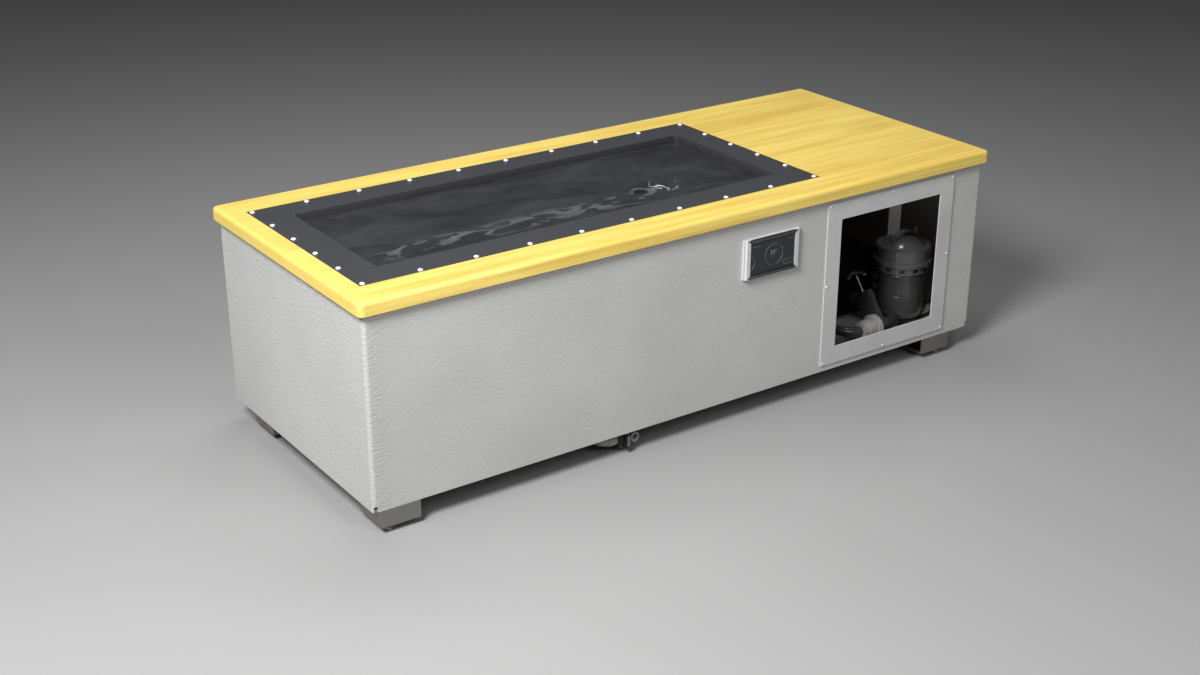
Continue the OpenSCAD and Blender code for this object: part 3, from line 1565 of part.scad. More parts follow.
// Inlet gland for the mains cable, low on the back
gland_from_end = 80;
gland_rise = 60;
function gland_x() = inner_x - gland_from_end;
function gland_z() = pan_top + gland_rise;
module power_gland() {
    cable = 4;
    nut = 13;
    nut_l = 8;
    color(black_tint) difference() {
        union() {
            rod_y(gland_x(), [inner_y - nut_l, shell_y + nut_l], gland_z(), gland_radius);
            translate([gland_x(), shell_y + nut_l, gland_z()]) rotate([90, 0, 0])
                cylinder(r = nut, h = nut_l, $fn = 6);
            translate([gland_x(), inner_y, gland_z()]) rotate([90, 0, 0])
                cylinder(r = nut, h = nut_l, $fn = 6);
        }
        rod_y(gland_x(), [inner_y - nut_l - over, shell_y + nut_l + over], gland_z(), cable);
    }
}

top_deck();
outer_shell();
floor_pan();
bearers();
foam_jacket();
bulkhead();
end_lining();
end_batten();
support_ring();
flange_gasket();
liner();
flange_screws();
access_frame();
access_screws();
panel_housing();
panel_bezel();
panel_glass();
leg_front_left();
leg_front_right();
leg_rear_left();
leg_rear_right();
leg_bolts();
foot_front_left();
foot_front_right();
foot_rear_left();
foot_rear_right();
foot_nuts();
filter_base();
filter_body();
filter_cartridge();
filter_lid();
filter_lock_ring();
filter_relief_knob();
valve_body();
valve_gate();
valve_collar();
hose_coupling();
hose_band();
suction_hose();
chiller_pipe();
chiller_case();
chiller_feet();
chiller_compressor();
chiller_condenser();
chiller_exchanger();
chiller_fan();
fan_motor();
pump_body();
pump_rotor();
return_pipe();
mixing_chamber();
suction_fitting();
jet_fitting();
jet_nozzle();
drain_pipe();
drain_valve();
drain_gate();
control_box();
vent_grille();
power_gland();
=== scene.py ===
# %% [markdown]
# # A cold plunge tub, dressed on its frame
# The CAD model already gives every rigid piece its true size and place. This lesson adds
# what a solid can't show: finishes, water with ripples, lit marks on the control panel and
# the small trims of the filter. Loading the frame first fixes the one set of coordinates
# that all pieces share: metres, +X towards the wooden deck, -Y the front, +Z up.

# %% Load the frame
import math

import bmesh
import bpy
from mathutils import Matrix, Vector, noise


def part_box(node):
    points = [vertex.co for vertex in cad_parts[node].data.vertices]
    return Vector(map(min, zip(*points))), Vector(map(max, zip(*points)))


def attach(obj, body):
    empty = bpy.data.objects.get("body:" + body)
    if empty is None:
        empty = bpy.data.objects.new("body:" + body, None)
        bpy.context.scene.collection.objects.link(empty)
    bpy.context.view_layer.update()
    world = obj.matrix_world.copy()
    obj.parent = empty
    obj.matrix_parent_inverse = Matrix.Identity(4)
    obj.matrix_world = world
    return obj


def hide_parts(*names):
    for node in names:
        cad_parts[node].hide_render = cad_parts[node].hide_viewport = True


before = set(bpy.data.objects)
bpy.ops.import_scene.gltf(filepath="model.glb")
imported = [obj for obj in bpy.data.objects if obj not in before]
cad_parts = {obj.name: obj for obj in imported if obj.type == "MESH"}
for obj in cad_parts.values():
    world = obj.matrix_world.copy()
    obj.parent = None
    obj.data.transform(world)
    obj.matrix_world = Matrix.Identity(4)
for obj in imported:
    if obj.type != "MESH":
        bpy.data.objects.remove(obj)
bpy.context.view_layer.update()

# %% [markdown]
# ## Colours as a painter writes them
# A colour picker shows display values from 0 to 255, while the shader works in linear
# light. One small helper turns the first into the second, so that every colour below can
# be compared with a picture by eye, and a second makes a colour lighter or darker.

# %% Colour helpers
def paint(red, green, blue):
    def linear(v):
        v /= 255
        return v / 12.92 if v <= 0.04045 else ((v + 0.055) / 1.055) ** 2.4
    return (linear(red), linear(green), linear(blue), 1.0)


def shade(colour, factor):
    return tuple(min(1.0, c * factor) for c in colour[:3]) + (1.0,)


print("mid grey in linear light:", round(paint(128, 128, 128)[0], 3))

# %% [markdown]
# ## Shader sums written as Python
# Patterns on a finish are sums of noises and masks. Wiring each Math node by hand hides the
# idea, so this class wraps one socket: plus, minus and times add the Math node, and node()
# adds any other kind with its settings first and its inputs after. The other methods are
# the words that the finishes need: stretched, noise, ramp, between, axis, off (distance to
# the nearest of a row of places), near, distance and along.

# %% Wire: a socket that can be added and multiplied
class Wire:
    def __init__(self, tree, socket):
        self.tree, self.socket = tree, socket

    def node(self, kind, settings=None, inputs=None, out=0):
        made = self.tree.nodes.new(kind)
        for key, value in (settings or {}).items():
            setattr(made, key, value)
        for key, value in (inputs or {}).items():
            if isinstance(value, Wire):
                self.tree.links.new(value.socket, made.inputs[key])
            else:
                made.inputs[key].default_value = value
        return Wire(self.tree, made.outputs[out])

    def sum_of(self, operation, first, second):
        return self.node("ShaderNodeMath", {"operation": operation}, {0: first, 1: second})

    def __add__(self, other):
        return self.sum_of("ADD", self, other)

    def __sub__(self, other):
        return self.sum_of("SUBTRACT", self, other)

    def __rsub__(self, other):
        return self.sum_of("SUBTRACT", other, self)

    def __mul__(self, other):
        return self.sum_of("MULTIPLY", self, other)

    __radd__, __rmul__ = __add__, __mul__

    def stretched(self, x, y, z):
        return self.node("ShaderNodeMapping", None, {"Vector": self, "Scale": (x, y, z)})

    def noise(self, scale, detail=3.0, roughness=0.55, distortion=0.0):
        return self.node("ShaderNodeTexNoise", None, {
            "Vector": self, "Scale": scale, "Detail": detail, "Roughness": roughness,
            "Distortion": distortion})

    def ramp(self, low, high):
        return self.node("ShaderNodeMapRange", {"clamp": True}, {
            "Value": self, "From Min": low, "From Max": high})

    def between(self, dark, light):
        return self.node("ShaderNodeMix", {"data_type": "RGBA"}, {
            "Factor": self, 6: dark, 7: light}, out=2)

    def axis(self, letter):
        return self.node("ShaderNodeSeparateXYZ", None, {0: self}, out="XYZ".index(letter))

    def off(self, first, pitch):
        return self.sum_of("PINGPONG", self - first, pitch / 2)

    def near(self, place, reach):
        away = self.sum_of("ABSOLUTE", self - place, 0.0)
        return 1.0 - away.ramp(reach * 0.4, reach)

    def distance(self, point):
        return self.node("ShaderNodeVectorMath", {"operation": "DISTANCE"},
                         {0: self, 1: point}, out=1)

    def along(self, direction):
        return self.node("ShaderNodeVectorMath", {"operation": "DOT_PRODUCT"},
                         {0: self, 1: direction}, out=1)


print("Wire is ready")

# %% [markdown]
# ## One maker for all finishes
# Every finish starts the same way: a Principled shader, its even values set straight on
# its sockets, and the object's own coordinates to hang patterns on. What varies over the
# surface is then plugged into colour, roughness or bump only.

# %% Finish maker
finishes = {}


def finish(name, roughness, metallic=0.0, coat=0.0, specular=0.5):
    material = bpy.data.materials.new(name)
    material.use_nodes = True
    tree = material.node_tree
    shader = tree.nodes["Principled BSDF"]
    shader.inputs["Roughness"].default_value = roughness
    shader.inputs["Metallic"].default_value = metallic
    shader.inputs["Coat Weight"].default_value = coat
    shader.inputs["Specular IOR Level"].default_value = specular
    place = Wire(tree, tree.nodes.new("ShaderNodeTexCoord").outputs["Object"])
    finishes[name] = material
    return shader, place


def plug(shader, socket, wire):
    wire.tree.links.new(wire.socket, shader.inputs[socket])


def bump(shader, height, depth, strength=1.0):
    plug(shader, "Normal", height.node("ShaderNodeBump", None, {
        "Strength": strength, "Distance": depth, "Height": height}))


print("finish maker is ready")

# %% [markdown]
# ## Oiled wood
# The slab's grain runs along the tub: long, soft streaks a finger wide, with hair-fine
# pores between them. Noise becomes a streak when the coordinates are squeezed along the
# grain and crowded across it. On the two ends the same noise is cut across and would show
# as hard teeth, so the pattern calms down towards them.

# %% Wood finish
def wood_finish(name):
    shader, place = finish(name, 0.42, coat=0.15, specular=0.4)
    shader.inputs["Coat Roughness"].default_value = 0.25
    drift = place.stretched(1.0, 5.0, 5.0).noise(1.6, 2.0)
    streaks = place.stretched(0.9, 22.0, 22.0).noise(1.7, 4.0, 0.6, 0.25)
    fine = place.stretched(4.0, 190.0, 190.0).noise(1.3, 3.0, 0.6)
    calm = place.axis("X").off(0.0, 2.257).ramp(1.1245, 1.04)
    tone = (streaks * 0.60 + drift * 0.30 + fine * 0.10).ramp(0.40, 0.60)
    tone = tone * (calm * 0.8 + 0.2) - calm * 0.48 + 0.48
    plug(shader, "Base Color", tone.between(paint(222, 187, 86), paint(248, 221, 120)))
    plug(shader, "Roughness", 0.46 - tone * 0.10)
    bump(shader, fine * 0.6 + streaks * 0.4, 0.0006, 0.35)


wood_finish("oiled_wood")

# %% [markdown]
# ## Moulded cabinet skin
# The cabinet is moulded with a leathery skin: fine shallow ripples, drawn out three times
# as far along the wall as up it. They show most on the left end, so the bump is full there
# and fades just round the corner. Roughness varies with the bumps, as on worn paint, so the
# light breaks up over the wall instead of lying on it as one flat tone.

# %% Cabinet, frame and plain plastic finishes
def moulded_skin(name, colour, scale, depth, roughness, bold_end=None):
    shader, place = finish(name, roughness, specular=0.35)
    wide = place.stretched(0.55, 0.55, 1.7).noise(scale, 3.0, 0.5, 0.6)
    fine = place.noise(scale * 4.5, 2.0, 0.6)
    cloud = place.noise(2.3, 3.0)
    skin = wide * 0.8 + fine * 0.2
    tone = (cloud * 0.6 + skin * 0.4).ramp(0.35, 0.65)
    plug(shader, "Base Color", tone.between(shade(colour, 0.92), shade(colour, 1.06)))
    plug(shader, "Roughness", skin * 0.24 + (roughness - 0.12))
    if bold_end is not None:
        skin = skin * (place.axis("X").near(bold_end, 0.06) * 0.65 + 0.35)
    bump(shader, skin, depth, 0.9)


def smooth_skin(name, colour, roughness, depth=0.0002, scale=320.0, coat=0.0, metallic=0.0,
                spread=0.08, specular=0.5):
    shader, place = finish(name, roughness, metallic=metallic, coat=coat, specular=specular)
    grain = place.noise(scale, 2.0, 0.6)
    cloud = place.noise(7.0, 3.0)
    tone = (cloud * 0.7 + grain * 0.3).ramp(0.35, 0.65)
    plug(shader, "Base Color", tone.between(shade(colour, 1 - spread), shade(colour, 1 + spread)))
    plug(shader, "Roughness", cloud * 0.12 + grain * 0.08 + (roughness - 0.10))
    bump(shader, grain, depth, 0.6)


shell_end = min(corner[0] for corner in bpy.data.objects["outer_shell"].bound_box)
moulded_skin("cabinet_skin", paint(190, 190, 188), 90.0, 0.0030, 0.60, bold_end=shell_end)
smooth_skin("frame_coat", paint(194, 194, 195), 0.55, specular=0.2)
smooth_skin("black_satin", paint(30, 30, 32), 0.5)
smooth_skin("valve_black", paint(46, 46, 48), 0.36)
smooth_skin("black_sheet", paint(4, 5, 9), 0.60, specular=0.1)
smooth_skin("pale_moulding", paint(216, 215, 211), 0.45)
smooth_skin("batten_coat", paint(246, 245, 242), 0.45)
smooth_skin("pipe_grey", paint(150, 149, 147), 0.38)
smooth_skin("filter_plastic", paint(78, 78, 80), 0.26, depth=0.00008, coat=0.25)
smooth_skin("panel_glass", paint(42, 44, 48), 0.30, depth=0.00003, coat=0.1, spread=0.05)
smooth_skin("silver_coat", paint(226, 226, 228), 0.32, depth=0.00006, metallic=0.35, spread=0.03)
smooth_skin("print_grey", paint(128, 130, 134), 0.5, depth=0.00002)
smooth_skin("strip_black", paint(30, 31, 34), 0.36, depth=0.00008)
smooth_skin("strip_line", paint(104, 106, 110), 0.40, depth=0.00008)
smooth_skin("foam", paint(224, 214, 168), 0.95, depth=0.0012, scale=140.0)
smooth_skin("dark_rubber", paint(26, 26, 28), 0.62, depth=0.0003)
smooth_skin("hose_rubber", paint(56, 56, 58), 0.26, depth=0.0001)
smooth_skin("lining", paint(66, 62, 55), 0.7, specular=0.2)
smooth_skin("pan_coat", paint(166, 165, 161), 0.45, depth=0.0003, scale=240.0)
smooth_skin("cartridge_paper", paint(235, 235, 230), 0.9, depth=0.0004)
print("plain finishes:", len(finishes))

# %% [markdown]
# ## Finishes that know where they are
# Some pieces change colour at a known place: the trough turns brownish below its flange,
# the filter's pot has four seam grooves coloured with painted shade, the valve's stem is bare
# steel under a dark grip, and every screw's socket is painted shade of its recess. The
# object's own coordinates tell the shader where it is, so a mask made from height or from
# the distance to a row of places does the work.

# %% Trough, pot, stem and cast finishes
def trough_skin(name):
    shader, place = finish(name, 0.30)
    grain = place.noise(300.0, 2.0, 0.6)
    cloud = place.noise(6.0, 3.0)
    rim = (place.axis("Z") + cloud * 0.004).ramp(0.664, 0.676)
    deep = cloud.between(paint(50, 47, 46), paint(64, 60, 58))
    plug(shader, "Base Color", rim.between(deep, paint(62, 63, 67)))
    plug(shader, "Roughness", cloud * 0.14 + grain * 0.06 + 0.22)
    bump(shader, grain, 0.0001, 0.5)


def pot_skin(name, seams):
    shader, place = finish(name, 0.24, coat=0.25, specular=0.6)
    grain = place.noise(420.0, 2.0, 0.6)
    cloud = place.noise(8.0, 3.0)
    seam_groove_shade = None
    for height in seams:
        # Painted shade: each seam groove is coloured dark as if in shadow, and the bump sinks it
        # too.
        line = place.axis("Z").near(height, 0.0013)
        seam_groove_shade = line if seam_groove_shade is None else seam_groove_shade + line
    body = cloud.ramp(0.35, 0.65).between(paint(54, 54, 56), paint(64, 64, 66))
    plug(shader, "Base Color", (seam_groove_shade * 0.8).between(body, paint(26, 26, 28)))
    plug(shader, "Roughness", cloud * 0.10 + grain * 0.06 + 0.18)
    bump(shader, grain * 0.12 - seam_groove_shade, 0.0008, 0.6)


def stem_skin(name, foot, direction, length):
    shader, place = finish(name, 0.42)
    offset = -sum(f * d for f, d in zip(foot, direction))
    bare = 1.0 - (place.along(direction) + offset).ramp(length - 0.001, length)
    grain = place.noise(260.0, 2.0, 0.6)
    plug(shader, "Base Color", bare.between(paint(26, 26, 28), paint(140, 140, 144)))
    plug(shader, "Metallic", bare * 0.9)
    plug(shader, "Roughness", grain * 0.15 + 0.30)
    bump(shader, grain, 0.0001, 0.5)


def screw_skin(name, first_x, pitch_x, second, first_s, pitch_s, radius):
    shader, place = finish(name, 0.24, metallic=0.1)
    across = place.axis("X").off(first_x, pitch_x)
    beside = place.axis(second).off(first_s, pitch_s)
    away = across.sum_of("POWER", across, 2.0) + beside.sum_of("POWER", beside, 2.0)
    # Painted shade: the socket mask colours each screw's hex recess darker, as shade in a hollow;
    # the bump only dents it.
    socket = 1.0 - away.ramp((radius * 0.8) ** 2, radius ** 2)
    stain = place.noise(400.0, 2.0)
    plug(shader, "Base Color", socket.between(paint(248, 248, 250), paint(130, 130, 134)))
    plug(shader, "Roughness", stain * 0.16 + 0.14)
    bump(shader, stain * 0.1 - socket, 0.0006, 0.5)


trough_skin("trough_skin")
pot_skin("pot_plastic", (0.141, 0.184, 0.228, 0.259))
stem_skin("valve_stem", (0.757, -0.3799, 0.135), (0.0, 0.62115, 0.78369), 0.176)
screw_skin("flange_screw", -1.0538, 0.17133, "Y", -0.335, 0.134, 0.0026)
screw_skin("window_screw", 0.464, 0.257, "Z", 0.1015, 0.258, 0.0014)
moulded_skin("cast_plastic", paint(134, 133, 130), 260.0, 0.0010, 0.55)
print("finishes so far:", len(finishes))

# %% [markdown]
# ## Metals
# Sheet and turned metal differ by the direction of their fine scratches. The same noise,
# stretched along the way the metal was rolled or turned, changes only the roughness and a
# very small bump, because the colour of a clean metal hardly varies.

# %% Metal finishes
def metal_finish(name, colour, roughness, stretch, scale=60.0, depth=0.00008):
    shader, place = finish(name, roughness, metallic=1.0)
    brushed = place.stretched(*stretch).noise(scale, 3.0, 0.7)
    stain = place.noise(9.0, 3.0)
    plug(shader, "Base Color", stain.ramp(0.3, 0.7).between(shade(colour, 0.86), colour))
    plug(shader, "Roughness", brushed * 0.22 + stain * 0.08 + (roughness - 0.14))
    bump(shader, brushed, depth, 0.5)


metal_finish("screw_steel", paint(232, 232, 234), 0.22, (1.0, 1.0, 1.0), 500.0)
metal_finish("band_steel", paint(235, 235, 238), 0.12, (1.0, 6.0, 6.0), 220.0)
metal_finish("leg_steel", paint(160, 158, 155), 0.46, (6.0, 6.0, 1.0))
metal_finish("pan_metal", paint(168, 168, 168), 0.46, (1.0, 9.0, 1.0))
metal_finish("fin_metal", paint(196, 190, 180), 0.35, (8.0, 1.0, 1.0))
print("finishes in all:", len(finishes))

# %% [markdown]
# ## Which piece wears which finish
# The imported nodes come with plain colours. A list of finish and nodes is the whole paint
# plan, and a check that no node is left over saves looking for a grey piece in the render.

# %% Paint plan for the frame's own nodes
plan = {
    "oiled_wood": ["top_deck"],
    "cabinet_skin": ["outer_shell"],
    "frame_coat": ["access_frame", "control_box"],
    "pan_coat": ["floor_pan"],
    "pan_metal": ["bearers"],
    "foam": ["foam_jacket"],
    "black_sheet": ["bulkhead", "chiller_case"],
    "lining": ["end_lining"],
    "pale_moulding": ["chiller_exchanger", "pump_rotor", "jet_nozzle"],
    "batten_coat": ["end_batten"],
    "pipe_grey": ["return_pipe", "drain_pipe"],
    "cast_plastic": ["valve_collar", "hose_coupling"],
    "valve_black": ["valve_body"],
    "black_satin": ["support_ring", "panel_housing", "filter_base",
                    "chiller_fan", "pump_body", "drain_valve", "vent_grille",
                    "power_gland", "chiller_pipe"],
    "panel_glass": ["panel_glass"],
    "valve_stem": ["valve_gate"],
    "dark_rubber": ["flange_gasket", "chiller_feet"],
    "hose_rubber": ["suction_hose"],
    "trough_skin": ["liner", "suction_fitting", "jet_fitting"],
    "flange_screw": ["flange_screws"],
    "window_screw": ["access_screws"],
    "screw_steel": ["leg_bolts", "foot_nuts"],
    "silver_coat": ["panel_bezel"],
    "leg_steel": ["leg_front_left", "leg_front_right", "leg_rear_left", "leg_rear_right",
                  "foot_front_left", "foot_front_right", "foot_rear_left",
                  "foot_rear_right", "fan_motor", "chiller_compressor", "drain_gate"],
    "pot_plastic": ["filter_body"],
    "filter_plastic": ["filter_lid", "filter_lock_ring", "filter_relief_knob",
                       "mixing_chamber"],
    "cartridge_paper": ["filter_cartridge"],
    "band_steel": ["hose_band"],
    "fin_metal": ["chiller_condenser"],
}
wearing = {node: name for name, nodes in plan.items() for node in nodes}
for node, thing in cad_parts.items():
    thing.data.materials.clear()
    thing.data.materials.append(finishes[wearing[node]])
print("nodes painted:", len(wearing), "left over:", sorted(set(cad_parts) - set(wearing)))

# %% [markdown]
# ## Camera
# The photograph was taken from the front left, a little above the rim, with a short
# telephoto lens. The place and the three directions below come from the corners of the
# top, the trough and the cabinet in the picture.

# %% Camera
eye = Vector((-2.90383, -4.03677, 2.31636))
ahead = Vector((0.52647453, 0.75029195, -0.39985817))
right = Vector((0.81891702, -0.57391036, 0.00134707))
lens = bpy.data.cameras.new("camera")
lens.sensor_fit, lens.sensor_width, lens.lens = "HORIZONTAL", 36.0, 51.4004
lens.clip_start, lens.clip_end = 0.05, 200.0
camera = bpy.data.objects.new("camera", lens)
upward = right.cross(ahead)
camera.matrix_world = Matrix((
    (right.x, upward.x, -ahead.x, eye.x), (right.y, upward.y, -ahead.y, eye.y),
    (right.z, upward.z, -ahead.z, eye.z), (0, 0, 0, 1)))
bpy.context.scene.collection.objects.link(camera)
bpy.context.scene.camera = camera
print("camera to the tub's middle:", round((eye - Vector((0, 0, 0.35))).length, 3), "m")

# %% [markdown]
# ## Studio
# A broad lamp high above the left end rakes down its wall, so that the moulded ripples and
# the rim stand out, and leaves the floor under the tub in deep shade. A weaker one in front
# keeps the long wall readable, a third lifts the deck, and a very small one under the
# bay's ceiling draws the bright spot on the filter's dome. A grey world fills the shadows.
# The floor's colour darkens away from the camera, a painted fall-off of light, so the tub's far
# edge stands out from it.

# %% Lamps, world and floor
def lamp(name, at, towards, size, power):
    data = bpy.data.lights.new(name, "AREA")
    data.shape, data.size, data.energy = "DISK", size, power
    made = bpy.data.objects.new(name, data)
    made.location = at
    made.rotation_euler = (Vector(towards) - Vector(at)).to_track_quat("-Z", "Y").to_euler()
    bpy.context.scene.collection.objects.link(made)
    return made


lamp("key_lamp", (-3.5, -1.95, 4.0), (-0.5, 0.0, 0.45), 1.8, 368)
lamp("fill_lamp", (-0.2, -4.0, 3.2), (0.1, 0.0, 0.35), 2.2, 38)
lamp("top_lamp", (0.6, 1.2, 4.2), (0.3, 0.0, 0.6), 2.4, 54)
lamp("bay_lamp", (0.893, -0.285, 0.628), (1.07, -0.14, 0.20), 0.06, 0.19)

world = bpy.data.worlds.new("studio")
bpy.context.scene.world = world
world.use_nodes = True
backdrop = world.node_tree.nodes["Background"]
backdrop.inputs["Color"].default_value = paint(150, 150, 150)
backdrop.inputs["Strength"].default_value = 0.27

bpy.ops.object.select_all(action="DESELECT")
bpy.ops.mesh.primitive_plane_add(size=80.0, location=(0.0, 0.0, 0.0))
floor = bpy.context.object
floor.name = "floor"
shader, place = finish("studio_floor", 0.42, specular=0.25)
# Painted fall-off of light: the floor's colour runs from pale near the camera to dark far away.
away = place.along((0.574, 0.819, 0.0)).ramp(-3.0, 7.5)
plug(shader, "Base Color", away.between(paint(170, 170, 170), paint(104, 104, 104)))
floor.data.materials.append(finishes["studio_floor"])
bpy.context.scene.view_settings.view_transform = "Standard"
print("floor and lamps are in place")

# %% [markdown]
# ## Tools for new pieces
# Each new piece starts as a primitive, is shaped with the same operators a person would
# use, and ends at the origin with its place in its mesh, like the frame's own nodes. These
# helpers keep the selection clean between steps.

# %% Modelling helpers
def begin(operator, name, **settings):
    bpy.ops.object.select_all(action="DESELECT")
    operator(**settings)
    made = bpy.context.object
    made.name = name
    return made


def apply_modifier(thing, kind, **settings):
    modifier = thing.modifiers.new(kind.lower(), kind)
    for key, value in settings.items():
        setattr(modifier, key, value)
    bpy.ops.object.select_all(action="DESELECT")
    thing.select_set(True)
    bpy.context.view_layer.objects.active = thing
    bpy.ops.object.modifier_apply(modifier=modifier.name)


def settle(thing, body, finish_name, angle=35.0):
    bpy.ops.object.select_all(action="DESELECT")
    thing.select_set(True)
    bpy.context.view_layer.objects.active = thing
    bpy.ops.object.transform_apply(location=True, rotation=True, scale=True)
    bpy.ops.object.shade_smooth_by_angle(angle=math.radians(angle))
    thing.data.materials.clear()
    thing.data.materials.append(finishes[finish_name])
    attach(thing, body)
    print(thing.name, "has", len(thing.data.polygons), "faces")
    return thing


def join(things, name):
    bpy.ops.object.select_all(action="DESELECT")
    for thing in things:
        thing.select_set(True)
    bpy.context.view_layer.objects.active = things[0]
    bpy.ops.object.join()
    things[0].name = name
    return things[0]


print("modelling helpers are ready")

# %% [markdown]
# ## Water
# The trough is filled nearly to the rim, and the return jet lifts the water into a low
# swell with rings round it and a hollow beside it. A fine grid with height from a few
# noises, humps and rings gives that; a simulation would cost minutes and look much the same
# when still. The finish paints in light and shade: pale patches of painted reflection, bright
# curls by the jet as painted highlights, a painted highlight on the eddy's lip and painted
# shade in its hollow.

# %% Water surface
trough_low = Vector((-0.9658, -0.2475, 0.130))
trough_high = Vector((0.4062, 0.2475, 0.681))
water_level = 0.659
gap = 0.0008
size_x = trough_high.x - trough_low.x - 2 * gap
size_y = trough_high.y - trough_low.y - 2 * gap
water = begin(bpy.ops.mesh.primitive_grid_add, "water", x_subdivisions=340, y_subdivisions=124,
              size=1.0, location=((trough_low.x + trough_high.x) / 2, 0.0, water_level))
water.scale = (size_x, size_y, 1.0)
bpy.ops.object.transform_apply(location=True, rotation=True, scale=True)


def hump(x, y, at, reach_x, reach_y):
    return math.exp(-((x - at[0]) / reach_x) ** 2 - ((y - at[1]) / reach_y) ** 2)


def wave_height(x, y):
    wide = noise.noise(Vector((x * 3.1 + y, y * 5.2, 0.3))) * 0.0046
    swirl = noise.noise(Vector((x * 9.0 - y * 4.0, y * 15.0, 4.1))) * 0.0013
    chop = noise.noise(Vector((x * 24.0, y * 38.0, 9.2))) * 0.0004
    middle = -0.125 - 0.018 * math.sin(x * 9.0)
    crest = math.exp(-((y - middle) / 0.045) ** 2) * min(1.0, max(0.0, (x + 0.93) / 0.12))
    curl = noise.noise(Vector((x * 8.0 + y * 6.0, y * 20.0 - x * 3.0, 2.7)))
    curl = math.copysign(abs(curl) ** 0.85, curl) * 0.0072 * crest
    jet = hump(x, y, (0.085, -0.085), 0.075, 0.05)
    boil = noise.noise(Vector((x * 24.0, y * 38.0, 1.9))) * 0.012 * jet
    bulge = 0.004 * hump(x, y, (0.04, -0.03), 0.05, 0.045)
    dent = -0.004 * hump(x, y, (0.007, -0.10), 0.034, 0.024)
    far = math.hypot(x - 0.09, (y + 0.08) * 1.3)
    rings = 0.0026 * math.cos(far * 78.0) * math.exp(-far / 0.16)
    drop = math.hypot(x - 0.242, y + 0.149)
    dimple = 0.0022 * math.cos(drop * 420.0) * math.exp(-(drop / 0.012) ** 2)
    return wide + swirl + chop + curl + boil + bulge + dent + rings + dimple


for vertex in water.data.vertices:
    vertex.co.z += wave_height(vertex.co.x, vertex.co.y)
apply_modifier(water, "SOLIDIFY", thickness=0.004, offset=-1.0)
shader, place = finish("dark_water", 0.06, specular=0.5)
shader.inputs["IOR"].default_value = 1.33
ripple = place.stretched(1.0, 2.0, 1.0).noise(26.0, 3.0, 0.5)
murk = place.stretched(1.0, 1.8, 1.0).noise(4.5, 3.0, 0.55, 0.8)
blob = place.stretched(1.0, 2.6, 1.0).noise(8.5, 1.0, 0.4, 1.2)
# Painted reflections: pale patches of lamp light along the swell's crests, set in the water's
# colour.
band = place.axis("Y").near(-0.132, 0.062) * place.axis("X").ramp(-0.93, -0.84) \
    * (1.0 - place.axis("X").ramp(-0.02, 0.08))
painted_reflection_patch = blob.ramp(0.52, 0.56) * band
jet_spot = place.distance((0.104, -0.085, water_level))
# Painted highlights: bright curl lines of lamp glint round the jet, kept off its middle.
painted_glint_curls = place.stretched(1.0, 1.7, 1.0).noise(11.0, 0.0, 0.4, 1.3).near(0.5, 0.022) \
    * (1.0 - jet_spot.ramp(0.030, 0.055))
still = murk.ramp(0.32, 0.68).between(paint(38, 40, 43), paint(58, 60, 63))
lit = painted_reflection_patch.between(still, paint(86, 88, 92))
eddy = place.stretched(1.0, 1.5, 1.0).distance((0.007, -0.150, water_level)) \
    + place.noise(40.0, 1.0) * 0.03
# Painted shade darkens the eddy's hollow, and a painted highlight lightens the lip round it.
painted_shade_hollow = eddy.ramp(0.048, 0.040)
painted_highlight_lip = eddy.near(0.056, 0.014) * (1.0 - jet_spot.ramp(0.09, 0.13)) * 0.55
eddy_painted_light = (painted_shade_hollow * 0.8).between(painted_highlight_lip.between(lit, paint(112, 114, 118)), paint(22, 23, 25))
plug(shader, "Base Color", painted_glint_curls.between(eddy_painted_light, paint(236, 238, 240)))
bump(shader, ripple, 0.0012, 0.25)
settle(water, "cabinet", "dark_water", 60.0)

# %% [markdown]
# ## Suction hose
# The hose leaves the coupling, swings up and back, and enters the bulkhead. Its solid has
# flat sides, so a smooth tube takes its place: a curve along the same two bends, given a
# round bevel and turned into a mesh, follows the centre line exactly.

# %% Suction hose
hose_low, hose_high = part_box("suction_hose")
hose_radius = 0.016
start = Vector((hose_high.x, hose_low.y + hose_radius, hose_low.z + hose_radius))
shift = hose_high.y - hose_radius - start.y
rise = hose_high.z - hose_radius - start.z
swing = math.hypot(shift, rise)
run, grip, bend_share, steps = hose_high.x - hose_low.x, 0.015, 0.366, 12
bend = bend_share * run
reach, across = run - 2 * grip, swing - 2 * bend
turn = math.atan2(across, reach) + math.asin(2 * bend / math.hypot(reach, across))
arc = [(bend * math.sin(turn * i / steps), bend * (1 - math.cos(turn * i / steps)))
       for i in range(steps + 1)]
line = [(0.0, 0.0)] + [(grip + out, across) for out, across in arc]
line += [(run - grip - out, swing - across) for out, across in reversed(arc)]
line += [(run, swing)]
hose = begin(bpy.ops.curve.primitive_bezier_curve_add, "suction_hose_skin")
hose.data.splines.clear()
path = hose.data.splines.new("POLY")
path.points.add(len(line) - 1)
for point, (out, across) in zip(path.points, line):
    point.co = (start.x - out, start.y + across * shift / swing,
                start.z + across * rise / swing, 1.0)
hose.data.bevel_depth, hose.data.bevel_resolution = hose_radius, 12
hose.data.use_fill_caps = True
bpy.ops.object.convert(target="MESH")
settle(hose, "cabinet", "hose_rubber", 40.0)
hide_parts("suction_hose")

# %% [markdown]
# ## Small trims on the filter's lid
# A knurled plug closes the right end of the handle, and the bleed screw at the left has a
# rounded grip. The plug starts as a cylinder and gets its form by inset, extrude and bevel;
# the grip is a bevelled block.

